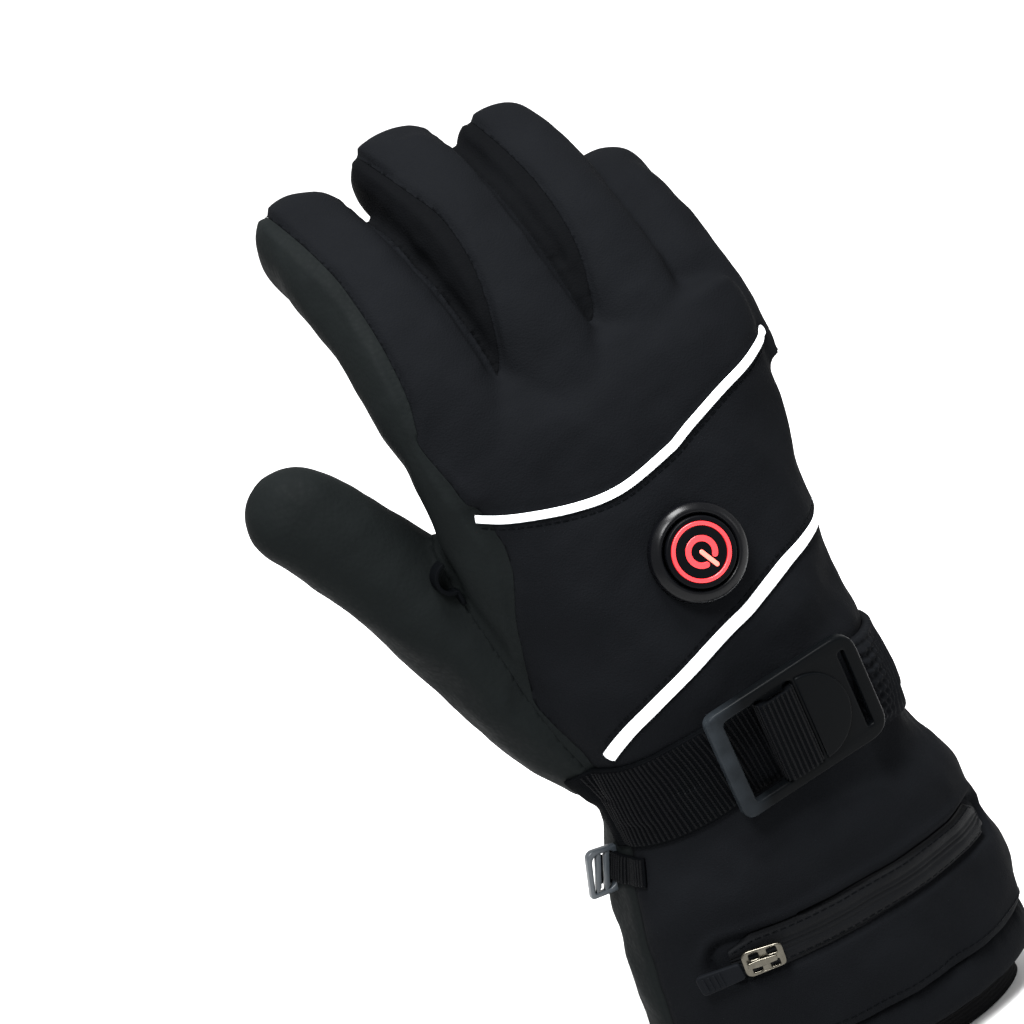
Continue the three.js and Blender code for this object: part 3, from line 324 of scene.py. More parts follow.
# Meshes from grids of points
def grid_faces(rows, columns, start=0, closed=False):
    across = columns if closed else columns - 1
    i, j = np.meshgrid(np.arange(rows - 1), np.arange(across), indexing="ij")
    a = start + i * columns + j
    b = start + i * columns + (j + 1) % columns
    return np.stack([a, b, b + columns, a + columns], -1).reshape(-1, 4).tolist()


def loft(rings):
    """A closed tube through equal rings, with a fan at each end."""
    rows, columns = rings.shape[:2]
    points = np.vstack([rings.reshape(-1, 3), rings[0].mean(axis=0), rings[-1].mean(axis=0)])
    faces = grid_faces(rows, columns, closed=True)
    low, high = rows * columns, rows * columns + 1
    last = (rows - 1) * columns
    for j in range(columns):
        k = (j + 1) % columns
        faces.append([low, k, j])
        faces.append([high, last + j, last + k])
    return points, faces


def hoop(rings):
    """A closed ring whose cross-sections are the rows of points."""
    rows, columns = rings.shape[:2]
    faces = grid_faces(rows, columns, closed=True)
    last = (rows - 1) * columns
    for j in range(columns):
        k = (j + 1) % columns
        faces.append([last + j, last + k, k, j])
    return rings.reshape(-1, 3), faces


def slab(lower, upper):
    """A closed slab between two grids of points."""
    rows, columns = lower.shape[:2]
    count = rows * columns
    points = np.vstack([lower.reshape(-1, 3), upper.reshape(-1, 3)])
    faces = [face[::-1] for face in grid_faces(rows, columns)] + grid_faces(rows, columns, start=count)
    rim = [i * columns for i in range(rows)]
    rim += [(rows - 1) * columns + j for j in range(1, columns)]
    rim += [i * columns + columns - 1 for i in range(rows - 2, -1, -1)]
    rim += list(range(columns - 2, 0, -1))
    for here, there in zip(rim, rim[1:] + rim[:1]):
        faces.append([here, there, there + count, here + count])
    return points, faces


def joined(parts):
    """One list of points and faces from several."""
    points, faces, start = [], [], 0
    for some_points, some_faces in parts:
        points.append(some_points)
        faces += [[start + corner for corner in face] for face in some_faces]
        start += len(some_points)
    return np.vstack(points), faces


def new_object(name, points, faces, edges=()):
    mesh = bpy.data.meshes.new(name)
    mesh.from_pydata((np.asarray(points) * MM).tolist(), list(edges), faces)
    obj = bpy.data.objects.new(name, mesh)
    bpy.context.scene.collection.objects.link(obj)
    return obj


def turned_outwards(obj):
    """Closes doubles and turns the faces of a closed mesh outwards."""
    work = bmesh.new()
    work.from_mesh(obj.data)
    bmesh.ops.remove_doubles(work, verts=work.verts, dist=1e-7)
    bmesh.ops.recalc_face_normals(work, faces=work.faces)
    work.to_mesh(obj.data)
    work.free()
    return obj


def baked(obj):
    """Replaces an object's mesh by its evaluated one and drops its modifiers."""
    evaluated = obj.evaluated_get(bpy.context.evaluated_depsgraph_get())
    mesh = bpy.data.meshes.new_from_object(evaluated)
    obj.modifiers.clear()
    old = obj.data
    obj.data = mesh
    bpy.data.meshes.remove(old)
    return obj


def dropped(obj):
    mesh = obj.data
    bpy.data.objects.remove(obj)
    if mesh.users == 0:
        bpy.data.meshes.remove(mesh)


def points_of(obj):
    flat = np.empty(len(obj.data.vertices) * 3)
    obj.data.vertices.foreach_get("co", flat)
    return flat.reshape(-1, 3) / MM


def normals_of(obj):
    flat = np.empty(len(obj.data.vertices) * 3)
    obj.data.vertex_normals.foreach_get("vector", flat)
    return flat.reshape(-1, 3)


def set_points(obj, points):
    obj.data.vertices.foreach_set("co", (points * MM).ravel())
    obj.data.update()


def tree_of(obj):
    """Surface of an object for ray casts, in millimetres."""
    return BVHTree.FromPolygons(points_of(obj).tolist(), [tuple(face.vertices) for face in obj.data.polygons])


def fused(name, parts, voxel):
    """One closed skin around overlapping closed forms."""
    obj = new_object(name, *joined(parts))
    remesh = obj.modifiers.new("fuse", "REMESH")
    remesh.mode = "VOXEL"
    remesh.voxel_size = voxel * MM
    return baked(obj)


def boolean(obj, other, operation):
    cut = obj.modifiers.new("cut", "BOOLEAN")
    cut.operation = operation
    cut.solver = "MANIFOLD"
    cut.object = other
    return baked(obj)


def copy_of(obj, name):
    twin = bpy.data.objects.new(name, obj.data.copy())
    bpy.context.scene.collection.objects.link(twin)
    return twin


def soft_noise(points, size, seed, waves=18):
    """Smooth noise between about -1 and 1 with folds of the given size."""
    pick = np.random.default_rng(seed)
    directions = unit(pick.normal(size=(waves, 3)))
    lengths = size * pick.uniform(0.7, 1.5, waves)
    phases = pick.uniform(0, FULL_TURN, waves)
    waves_at = np.sin(points @ (directions / lengths[:, None] * FULL_TURN).T + phases)
    return waves_at.sum(axis=1) / math.sqrt(waves / 2) / 2


def smoothed(obj, rounds, factor=0.5):
    """Evens out the fine steps that a fused skin has."""
    smooth = obj.modifiers.new("smooth", "SMOOTH")
    smooth.iterations = rounds
    smooth.factor = factor
    return baked(obj)


# Cloth simulation
SWELL_FRAMES = 20
CLOTH_SETTINGS = {
    "quality": 4,
    "mass": 0.2,
    "tension_stiffness": 12,
    "compression_stiffness": 12,
    "shear_stiffness": 4,
    "bending_stiffness": 0.4,
    "use_pressure": True,
}
LEAST_HOLD = 0.01


def kd_tree(points):
    tree = KDTree(len(points))
    for index, point in enumerate(points):
        tree.insert(point, index)
    tree.balance()
    return tree


def evened_moves(points, moved, near=9, rounds=3):
    """Moves averaged with those of the nearest points, so that folds stay broad."""
    tree = kd_tree(points)
    beside = np.array([[hit[1] for hit in tree.find_n(point, near)] for point in points])
    for _ in range(rounds):
        moved = moved[beside].mean(axis=1)
    return moved


def swell(name, parts, held_at, cloth):
    """Blows a coarse closed skin up as cloth and returns its points and how far each moved."""
    obj = fused(name, parts, cloth.swell_voxel / MM)
    before = points_of(obj)
    group = obj.vertex_groups.new(name="held")
    for index, weight in enumerate(held_at(before)):
        if weight > LEAST_HOLD:
            group.add([index], float(weight), "REPLACE")
    modifier = obj.modifiers.new("cloth", "CLOTH")
    settings = modifier.settings
    for key, value in CLOTH_SETTINGS.items():
        setattr(settings, key, value)
    settings.uniform_pressure_force = cloth.swell_pressure
    settings.shrink_min = -cloth.spare_cloth
    settings.vertex_group_mass = group.name
    settings.effector_weights.gravity = 0
    modifier.collision_settings.use_collision = False
    modifier.point_cache.frame_end = SWELL_FRAMES
    scene = bpy.context.scene
    for step in range(1, SWELL_FRAMES + 1):
        scene.frame_set(step)
    after = points_of(baked(obj))
    scene.frame_set(1)
    dropped(obj)
    moved = after - before
    reach = np.linalg.norm(moved, axis=1, keepdims=True)
    moved = moved * np.minimum(1, cloth.swell_cap / MM / np.maximum(reach, 1e-9))
    return before, evened_moves(before, moved)


def spread(points, source, moved, near=5):
    """Carries the movement of a coarse skin's points over to finer ones."""
    tree = kd_tree(source)
    result = np.zeros_like(points)
    for row, point in enumerate(points):
        found = tree.find_n(point, near)
        index = [hit[1] for hit in found]
        weight = 1 / (np.array([hit[2] for hit in found]) ** 2 + 1.0)
        result[row] = weight @ moved[index] / weight.sum()
    return result


def to_polyline(points, line):
    """Distance from each point to a polyline."""
    line = np.asarray(line, float)
    best = np.full(len(points), np.inf)
    for a, b in zip(line, line[1:]):
        along = np.clip((points - a) @ (b - a) / np.sum((b - a) ** 2), 0, 1)
        best = np.minimum(best, np.linalg.norm(points - a - along[:, None] * (b - a), axis=1))
    return best


# The seam between the back and the palm side. Side seams up the hand: share, radial and ulnar angle.
# From there a sheet runs over the fingers, at these shares of each finger's half depth per station.
SIDE_SEAMS = [
    (0, -80, 92), (0.12, -76, 92), (0.31, -82, 90), (0.46, -70, 89), (0.64, -55, 88), (0.8, -54, 88),
]
FINGER_SEAM_STATIONS = [0.16, 0.22, 0.3, 0.44, 0.58, 0.72, 0.86, 1]
FINGER_SEAMS = [
    [0.74, 0.8, 0.88, 0.92, 0.94, 0.93, 0.9, 0.86],
    [-0.3, 0.3, 0.7, 0.91, 0.95, 0.89, 0.8, 0.72],
    [-0.3, 0.3, 0.72, 0.92, 0.96, 0.96, 0.95, 0.93],
    [-0.3, 0.5, 0.86, 0.92, 0.95, 0.96, 0.95, 0.93],
]
FAR_SIDE_SEAM = -0.35
FINGER_PLACES = [0.08, 0.35, 0.62, 0.9]
COLUMN_STEPS = [-0.138, -0.07, -0.035, 0.131]
SHEET_ACROSS = np.array([-0.4, *[place + step for place in FINGER_PLACES for step in COLUMN_STEPS], 1.4])
SHEET_HEIGHT = 70.0
SHEET_REACH = 40.0
OVERRUN = 30.0


def finger_columns(form, line, step, height):
    """Points of the sheet on one finger: above its shoulder, at its seam, inside and at its far side."""
    at = step / SPINE_STEPS
    keys, widths, depths = finger_form(form)
    wide = read_table(keys, widths, at) * FINGER_HALF[0] * form["width"]
    deep = read_table(keys, depths, at) * FINGER_HALF[1] * form["width"]
    reach = (1 - abs(height) ** LIMB_SQUARE) ** (1 / LIMB_SQUARE)
    inner = max(height - 0.5, -0.4)
    places = [(-1.02, height + 0.12), (-reach, height), (0.25 - reach, inner), (0.97, FAR_SIDE_SEAM)]
    centre, side, up = (line[key][step] for key in ("point", "side", "up"))
    return [centre + side * across * wide + up * rise * deep for across, rise in places]


def seam_sheet():
    """Points of the seam's sheet, row by row up the hand, and its upward directions."""
    rows, ups = [], []
    for row, (share, radial, ulnar) in enumerate(SIDE_SEAMS):
        start = skin(radial * RADIANS, hand_place(share))
        end = skin(ulnar * RADIANS, hand_place(share))
        drop = np.array([0, 0, -OVERRUN if row == 0 else 0.0])
        rows.append(start + (end - start) * SHEET_ACROSS[:, None] + drop)
        ups.append(np.tile([0, -1.0, 0], (len(SHEET_ACROSS), 1)))
    spines = [finger_spine(row) for row in FINGERS]
    stations = [(index, at, 0.0) for index, at in enumerate(FINGER_SEAM_STATIONS)]
    for index, at, beyond in stations + [(len(stations) - 1, 1, OVERRUN)]:
        step = round(at * SPINE_STEPS)
        row, up = [], []
        for form, line, seams in zip(FINGERS, spines, FINGER_SEAMS):
            ahead = line["along"][step] * beyond
            row += [point + ahead for point in finger_columns(form, line, step, seams[index])]
            up += [line["up"][step]] * len(COLUMN_STEPS)
        first = row[1] - spines[0]["side"][step] * SHEET_REACH
        last = row[-1] + spines[-1]["side"][step] * SHEET_REACH
        rows.append(np.array([first, *row, last]))
        ups.append(np.array([up[0], *up, up[-1]]))
    return np.array(rows), np.array(ups)


def finer(grid, rows, splits=4):
    """A grid of points read smoothly at more rows and straight between its columns."""
    at = np.linspace(0, len(grid) - 1, rows)
    keys = np.arange(len(grid))
    tall = np.stack([[read_table(keys, grid[:, c, k], at) for k in range(3)] for c in range(grid.shape[1])])
    tall = tall.transpose(2, 0, 1)
    keys = np.arange(grid.shape[1])
    across = np.linspace(0, keys[-1], splits * keys[-1] + 1)
    lines = [[np.interp(across, keys, line[:, k]) for k in range(3)] for line in tall]
    return np.stack(lines).transpose(0, 2, 1)


def sheet_block(name, shift):
    """Everything on the back's side of the seam, as a closed block."""
    rows, ups = seam_sheet()
    low = finer(rows, 80)
    up = unit(finer(ups, 80))
    return turned_outwards(new_object(name, *slab(low - up * shift, low + up * SHEET_HEIGHT)))


def seam_distances(points, reach=8.0):
    """Distance from each point to the seam's sheet, no more than the reach."""
    low = finer(seam_sheet()[0], 100)
    tree = BVHTree.FromPolygons(low.reshape(-1, 3).tolist(), grid_faces(*low.shape[:2]))
    hits = [tree.find_nearest(point, reach)[3] for point in points]
    return np.array([reach if hit is None else hit for hit in hits])


# Paths on the skin, as angle in degrees and height
PIPINGS = [
    [
        (-54.5, hand_place(0.796)), (-40, hand_place(0.763)), (-27.5, hand_place(0.738)),
        (-17, hand_place(0.733)), (-6, hand_place(0.755)), (10, hand_place(0.797)),
        (31, hand_place(0.84)), (58, hand_place(0.866)), (84, hand_place(0.868)),
    ],
    [
        (90, hand_place(0.435)), (66, hand_place(0.427)), (40, hand_place(0.416)), (20, hand_place(0.392)),
        (-2, hand_place(0.341)), (-20, hand_place(0.283)), (-40, hand_place(0.209)), (-60, hand_place(0.127)),
    ],
]
STRAP_PATH = [(-86, WRIST_Z - 3), (-50, WRIST_Z - 1), (-15, WRIST_Z + 4), (8, WRIST_Z + 6)]
CASING_PATH = [(33, WRIST_Z + 4), (65, WRIST_Z + 1), (110, WRIST_Z - 1), (168, WRIST_Z - 1)]
# UV size of the strap, longer than the strap itself, and its grid; the casing's grid, width and gathers
STRAP_UV = (93.0, 25.0)
STRAP_GRID = (220, 30)
CASING_GRID = (420, 40)
CASING_WIDTH = 26.5
CASING_FOLDS = 22
ZIP_Z = 0.515 * CUFF_LENGTH
ZIP_PATH = [(-42, ZIP_Z - 0.5), (-10, ZIP_Z), (25, ZIP_Z + 0.5), (56, ZIP_Z + 0.5)]


def path_at(path, u):
    keys = np.linspace(0, 1, len(path))
    u = np.clip(u, 0, 1)
    angle = read_table(keys, [row[0] * RADIANS for row in path], u)
    return angle, read_table(keys, [row[1] for row in path], u)


def ribbon(path, u, offset):
    """Angle and height of the points that lie an offset to the side of a path on the skin."""
    u, offset = np.broadcast_arrays(np.asarray(u, float), np.asarray(offset, float))
    angle, z = path_at(path, u)
    _, around, along, _ = skin_frame(angle, z)
    around = np.linalg.norm(around, axis=-1)
    along = np.linalg.norm(along, axis=-1)
    ahead = path_at(path, u + NUDGE)
    behind = path_at(path, u - NUDGE)
    forward = (ahead[0] - behind[0]) * around
    upward = (ahead[1] - behind[1]) * along
    step = offset / np.hypot(forward, upward)
    return angle - step * upward / around, z + step * forward / along


def path_line(path, count=60):
    return skin(*path_at(path, np.linspace(0, 1, count)))


surfaces = {}
DRAPE_REACH = 14.0


def on_cloth(angle, z):
    """Points and normals of the skin, and how far the dressed cloth stands off it."""
    point, _, _, normal = skin_frame(angle, z)
    lift = np.zeros(point.shape[:-1])
    for index in np.ndindex(lift.shape):
        start = point[index] + normal[index] * DRAPE_REACH
        hits = [tree.ray_cast(start, -normal[index], 2 * DRAPE_REACH)[3] for tree in surfaces.values()]
        near = [hit for hit in hits if hit is not None]
        lift[index] = DRAPE_REACH - min(near) if near else 0.0
    return point, normal, lift


def evened(values, axis, reach):
    """Running mean of a grid along one axis."""
    count = 2 * reach + 1
    padding = [(0, 0)] * values.ndim
    padding[axis] = (reach, reach)
    padded = np.pad(values, padding, mode="edge")
    return sum(np.take(padded, range(k, k + values.shape[axis]), axis=axis) for k in range(count)) / count


def laid(path, steps, across, width_at, height_at, lift_at=lambda u, v: 0.2 + 0 * u, even=3):
    """A slab laid along a path on the cloth: u runs along it from 0 to 1, v across it from -0.5 to 0.5."""
    u = np.linspace(0, 1, steps)[:, None] * np.ones((1, across))
    v = np.linspace(-0.5, 0.5, across)[None, :] * np.ones((steps, 1))
    point, normal, lift = on_cloth(*ribbon(path, u, v * width_at(u)))
    lift = evened(lift, 0, even)
    low = lift + lift_at(u, v)
    return point + normal * low[..., None], point + normal * (low + height_at(u, v))[..., None]


def flat_mapped(name, lower, upper, uv_size):
    """A slab of two grids with a UV map of the given size; rim faces take their nearest grid place."""
    obj = new_object(name, *slab(lower, upper))
    layer = obj.data.uv_layers.new(name="cloth")
    rows, columns = lower.shape[:2]
    for loop in obj.data.loops:
        row, column = divmod(loop.vertex_index % (rows * columns), columns)
        layer.data[loop.index].uv = (row / (rows - 1) * uv_size[0], column / (columns - 1) * uv_size[1])
    return turned_outwards(obj)


def seat_at(angle, z, lift, lean_across=0.0, lean_along=0.0):
    """Matrix of a seat on the skin: x runs around the glove, y up the glove and z outwards."""
    point, around, _, normal = skin_frame(angle * RADIANS, z)
    x = unit(around)
    y = np.cross(normal, x)
    matrix = np.eye(4)
    matrix[:3, 0], matrix[:3, 1], matrix[:3, 2] = x, y, normal
    matrix[:3, 3] = point + normal * lift
    lean = Matrix.Rotation(lean_across * RADIANS, 4, "Y") @ Matrix.Rotation(lean_along * RADIANS, 4, "X")
    return matrix @ np.array(lean)


def seated(obj, seat):
    """Puts a mesh made around its own origin, in metres, on a seat given in millimetres."""
    place = Matrix(seat.tolist())
    place.translation *= MM
    obj.data.transform(place)
    obj.data.update()
    return obj


# Finishes: each is a Principled shader whose pattern is read in object space or along the cloth
class Finish:
    def __init__(self, name, color, roughness, **sockets):
        self.material = bpy.data.materials.new(name)
        self.material.use_nodes = True
        self.nodes = self.material.node_tree.nodes
        self.links = self.material.node_tree.links
        self.shader = self.nodes["Principled BSDF"]
        self.shader.inputs["Base Color"].default_value = (*color, 1)
        self.shader.inputs["Roughness"].default_value = roughness
        for socket, value in sockets.items():
            self.shader.inputs[socket.replace("_", " ")].default_value = value
        self.color = color
        self.coordinates = self.nodes.new("ShaderNodeTexCoord")
        self.height = None

    def place(self, space="Object", scale=(1, 1, 1), turn=(0, 0, 0)):
        mapping = self.nodes.new("ShaderNodeMapping")
        mapping.inputs["Scale"].default_value = scale
        mapping.inputs["Rotation"].default_value = turn
        self.links.new(self.coordinates.outputs[space], mapping.inputs["Vector"])
        return mapping.outputs["Vector"]

    def noise(self, vector, scale, detail=3, roughness=0.55):
        node = self.nodes.new("ShaderNodeTexNoise")
        node.inputs["Scale"].default_value = scale
        node.inputs["Detail"].default_value = detail
        node.inputs["Roughness"].default_value = roughness
        self.links.new(vector, node.inputs["Vector"])
        return node.outputs["Fac"]

    def cells(self, vector, scale, feature="F1"):
        node = self.nodes.new("ShaderNodeTexVoronoi")
        node.feature = feature
        node.inputs["Scale"].default_value = scale
        self.links.new(vector, node.inputs["Vector"])
        return node.outputs["Distance"]

    def along_x(self, vector):
        node = self.nodes.new("ShaderNodeSeparateXYZ")
        self.links.new(vector, node.inputs["Vector"])
        return node.outputs["X"]

    def bands(self, vector, scale, axis="X", distortion=0.0):
        node = self.nodes.new("ShaderNodeTexWave")
        node.bands_direction = axis
        node.inputs["Scale"].default_value = scale
        node.inputs["Distortion"].default_value = distortion
        self.links.new(vector, node.inputs["Vector"])
        return node.outputs["Fac"]

    def ranged(self, value, low, high, from_low=0.0, from_high=1.0):
        node = self.nodes.new("ShaderNodeMapRange")
        node.inputs["From Min"].default_value = from_low
        node.inputs["From Max"].default_value = from_high
        node.inputs["To Min"].default_value = low
        node.inputs["To Max"].default_value = high
        self.links.new(value, node.inputs["Value"])
        return node.outputs["Result"]

    def combined(self, one, other, operation="ADD"):
        node = self.nodes.new("ShaderNodeMath")
        node.operation = operation
        self.links.new(one, node.inputs[0])
        self.links.new(other, node.inputs[1])
        return node.outputs["Value"]

    def varied_color(self, value, low, high):
        """Colour between two shares of the base colour."""
        node = self.nodes.new("ShaderNodeMix")
        node.data_type = "RGBA"
        node.inputs[6].default_value = (*[c * low for c in self.color], 1)
        node.inputs[7].default_value = (*[c * high for c in self.color], 1)
        self.links.new(value, node.inputs[0])
        self.links.new(node.outputs[2], self.shader.inputs["Base Color"])

    def varied_roughness(self, value):
        self.links.new(value, self.shader.inputs["Roughness"])

    def bumped(self, value, millimetres, strength=1.0):
        node = self.nodes.new("ShaderNodeBump")
        node.inputs["Distance"].default_value = millimetres * MM
        node.inputs["Strength"].default_value = strength
        self.links.new(value, node.inputs["Height"])
        if self.height:
            self.links.new(self.height.outputs["Normal"], node.inputs["Normal"])
        self.height = node
        self.links.new(node.outputs["Normal"], self.shader.inputs["Normal"])


def softshell(name, color):
    """Brushed softshell: a fine knit with soft nap and faint shading from wear."""
    cloth = Finish(name, color, 0.82, Specular_IOR_Level=0.014)
    here = cloth.place()
    knit = cloth.cells(here, 1900)
    nap = cloth.noise(here, 900, 4)
    wear = cloth.noise(here, 38, 3)
    cloth.varied_color(wear, 0.8, 1.25)
    cloth.varied_roughness(cloth.ranged(nap, 0.72, 0.92))
    cloth.bumped(wear, 0.6, 0.35)
    cloth.bumped(cloth.combined(knit, nap), 0.16, 0.5)
    return cloth.material


def grained_leather(name, color):
    """Synthetic leather: fine grain cells with creases between them."""
    hide = Finish(name, color, 0.7, Specular_IOR_Level=0.022)
    here = hide.place()
    grain = hide.cells(here, 820, "SMOOTH_F1")
    pores = hide.noise(here, 2600, 3)
    wear = hide.noise(here, 30, 3)
    hide.varied_color(wear, 0.7, 1.35)
    hide.varied_roughness(hide.ranged(grain, 0.62, 0.82))
    hide.bumped(wear, 0.8, 0.4)
    hide.bumped(grain, 0.2, 0.5)
    hide.bumped(pores, 0.05, 0.4)
    return hide.material


def brushed_lining(name, color):
    """Knitted lining: rows of ribs under a soft nap."""
    knit = Finish(name, color, 0.92, Specular_IOR_Level=0.05)
    here = knit.place()
    nap = knit.noise(here, 1400, 4)
    rows = knit.bands(here, 260, "Z", 0.6)
    knit.varied_color(nap, 0.6, 1.5)
    knit.bumped(rows, 0.35, 0.5)
    knit.bumped(nap, 0.2, 0.6)
    return knit.material


def nylon_webbing(name, color):
    """Woven webbing: threads across and along the tape, with a slight shine on the ribs."""
    tape = Finish(name, color, 0.6, Specular_IOR_Level=0.01)
    here = tape.place("UV")
    across = tape.bands(here, 0.5, "Y", 0.4)
    along = tape.bands(here, 0.9, "X", 0.4)
    fibre = tape.noise(tape.place("UV", (1, 6, 1)), 1.6, 4)
    tape.varied_color(fibre, 0.5, 1.9)
    tape.varied_roughness(tape.ranged(fibre, 0.42, 0.8))
    tape.bumped(tape.combined(across, along, "MULTIPLY"), 0.3, 0.7)
    tape.bumped(fibre, 0.12, 0.7)
    return tape.material


def rib_threads(name, color, shine):
    """Thread on the raised ribs: twisted fibres along each rib."""
    thread = Finish(name, color, 0.36, Specular_IOR_Level=shine)
    here = thread.place()
    twist = thread.bands(here, 900, "DIAGONAL", 2.0)
    fibre = thread.noise(here, 1500, 3)
    thread.varied_color(fibre, 0.4, 2.2)
    thread.varied_roughness(thread.ranged(fibre, 0.24, 0.7))
    thread.bumped(twist, 0.15, 0.7)
    return thread.material


def reflective_piping(name, color):
    """Glass-bead tape: smooth white with very fine beads."""
    tape = Finish(name, color, 0.38, Specular_IOR_Level=0.4)
    here = tape.place()
    beads = tape.cells(here, 5200)
    wear = tape.noise(here, 70, 2)
    tape.varied_color(wear, 0.96, 1.0)
    tape.bumped(beads, 0.02, 0.3)
    return tape.material


# Where along x, in metres, the buckle's plastic goes from its painted highlight, lighter at the low end, to
# plain
PAINTED_HIGHLIGHT_SPAN = (-0.024, -0.013)


def moulded_plastic(name, color, roughness, grain, shine, painted_highlight_share=None):
    """Injection-moulded plastic: spark-eroded grain, handling wear and, if given, a painted highlight that
    lightens its low-x end.
    """
    plastic = Finish(name, color, roughness, Specular_IOR_Level=shine)
    here = plastic.place()
    spark = plastic.noise(here, 3400, 3)
    wear = plastic.noise(here, 140, 4)
    if painted_highlight_share is None:
        plastic.varied_color(wear, 0.85, 1.2)
    else:
        # Painted highlight: the colour rises up to the given share towards the low-x end, mottled by the wear
        # noise
        end = plastic.ranged(plastic.along_x(here), 1.0, 0.0, *PAINTED_HIGHLIGHT_SPAN)
        plastic.varied_color(plastic.combined(wear, end, "MULTIPLY"), 0.85, painted_highlight_share)
    plastic.varied_roughness(plastic.ranged(wear, roughness - 0.06, roughness + 0.08, 0.3, 0.7))
    plastic.bumped(spark, grain, 0.5)
    return plastic.material


def lit_guide(name, color, glow):
    """Light guide: red plastic lit from below, with a faint random haze in its colour."""
    guide = Finish(name, color, 0.3, Specular_IOR_Level=0.5)
    here = guide.place()
    haze = guide.noise(here, 240, 2)
    guide.varied_color(haze, 0.8, 1.1)
    guide.shader.inputs["Emission Color"].default_value = (*color, 1)
    guide.shader.inputs["Emission Strength"].default_value = glow
    guide.bumped(haze, 0.05, 0.3)
    return guide.material


def polished_nickel(name, color):
    """Plated die-cast metal with fine scratches and spots of tarnish."""
    metal = Finish(name, color, 0.3, Metallic=1.0)
    here = metal.place()
    scratch = metal.noise(metal.place(scale=(1, 1, 9)), 700, 4)
    tarnish = metal.noise(here, 420, 3)
    metal.varied_color(tarnish, 0.55, 1.3)
    metal.varied_roughness(metal.ranged(scratch, 0.14, 0.42))
    metal.bumped(scratch, 0.02, 0.4)
    return metal.material


def coated_tape(name, color):
    """Water-repellent zip tape: a smooth coat over a fine weave."""
    tape = Finish(name, color, 0.42, Specular_IOR_Level=0.035)
    weave = tape.bands(tape.place("UV"), 1.1, "X", 0.2)
    wear = tape.noise(tape.place(), 60, 3)
    tape.varied_color(wear, 0.8, 1.25)
    tape.varied_roughness(tape.ranged(wear, 0.42, 0.62))
    tape.bumped(weave, 0.08, 0.5)
    tape.bumped(wear, 0.4, 0.3)
    return tape.material


def pull_rubber(name, color):
    """Matt moulded rubber with a fine grit."""
    rubber = Finish(name, color, 0.62, Specular_IOR_Level=0.03)
    here = rubber.place()
    grit = rubber.noise(here, 1800, 3)
    rubber.varied_color(rubber.noise(here, 90, 3), 0.85, 1.2)
    rubber.bumped(grit, 0.08, 0.5)
    return rubber.material


# Names for the sizes and colours that a user would change
def color_property(name, description, default):
    return bpy.props.FloatVectorProperty(
        name=name, description=description, default=default, size=3, min=0, max=1, subtype="COLOR"
    )


def length_property(name, description, millimetres):
    return bpy.props.FloatProperty(
        name=name, description=description, default=millimetres * MM, min=0, unit="LENGTH", precision=4
    )


class GloveCloth(bpy.types.PropertyGroup):
    """Sizes of the padded cloth."""

    skin_voxel: length_property("Skin Detail", "Spacing of the points of the hand's skin", 1.2)
    swell_voxel: length_property("Swell Detail", "Spacing of the points of the cloth simulation", 3.2)
    swell_cap: length_property("Swell Cap", "Furthest that the filling pushes the cloth out", 1.7)
    swell_pressure: bpy.props.FloatProperty(
        name="Filling", description="Pressure of the filling in the cloth simulation", default=4.0, min=0
    )
    spare_cloth: bpy.props.FloatProperty(
        name="Spare Cloth", description="Share by which the cloth is cut larger than the hand",
        default=0.03, min=0, max=0.2, subtype="FACTOR",
    )
    seam_depth: length_property("Seam Depth", "How far the cloth dips at a seam", 0.9)
    seam_width: length_property("Seam Width", "Half width of the dip at a seam", 1.7)
    wrinkle_depth: length_property("Wrinkles", "Height of the soft unevenness of the cloth", 0.5)


class GloveTrim(bpy.types.PropertyGroup):
    """Sizes of the trim, straps and stitches."""

    piping_width: length_property("Piping Width", "Width of the reflective piping", 3.0)
    piping_height: length_property("Piping Height", "Height of the piping above the cloth", 0.9)
    strap_width: length_property("Strap Width", "Width of the wrist webbing", 25.0)
    strap_thickness: length_property("Strap Thickness", "Thickness of the wrist webbing", 1.6)
    rib_pitch: length_property("Rib Pitch", "Distance from rib to rib of the webbing", 1.5)
    rib_radius: length_property("Rib Radius", "Radius of a rib of the webbing", 0.42)
    stitch_pitch: length_property("Stitch Pitch", "Distance from stitch to stitch", 2.4)
    stitch_radius: length_property("Stitch Radius", "Radius of the sewing thread", 0.2)


class GloveColors(bpy.types.PropertyGroup):
    """Colours of the finishes."""

    shell: color_property("Shell", "Softshell of the back and the gauntlet", (0.0027, 0.003, 0.0036))
    palm: color_property("Palm", "Synthetic leather of palm and thumb", (0.0034, 0.0042, 0.0043))
    lining: color_property("Lining", "Knit of the inner cuff", (0.0016, 0.0016, 0.0018))
    webbing: color_property("Webbing", "Nylon of the wrist strap and tabs", (0.0011, 0.0013, 0.0016))
    piping: color_property("Piping", "Reflective tape", (0.9, 0.93, 0.95))
    plastic: color_property("Plastic", "Buckle and clip", (0.0014, 0.0017, 0.002))
    bezel: color_property("Bezel", "Ring around the button", (0.0012, 0.0013, 0.0017))
    light: color_property("Light", "Lit ring and sign of the button", (0.62, 0.02, 0.025))
    sign: color_property("Sign", "Lit bar of the power sign", (0.85, 0.13, 0.1))
    nickel: color_property("Nickel", "Zip slider", (0.07, 0.065, 0.053))
    rubber: color_property("Rubber", "Zip pull", (0.0022, 0.0026, 0.0034))


finishes = {}


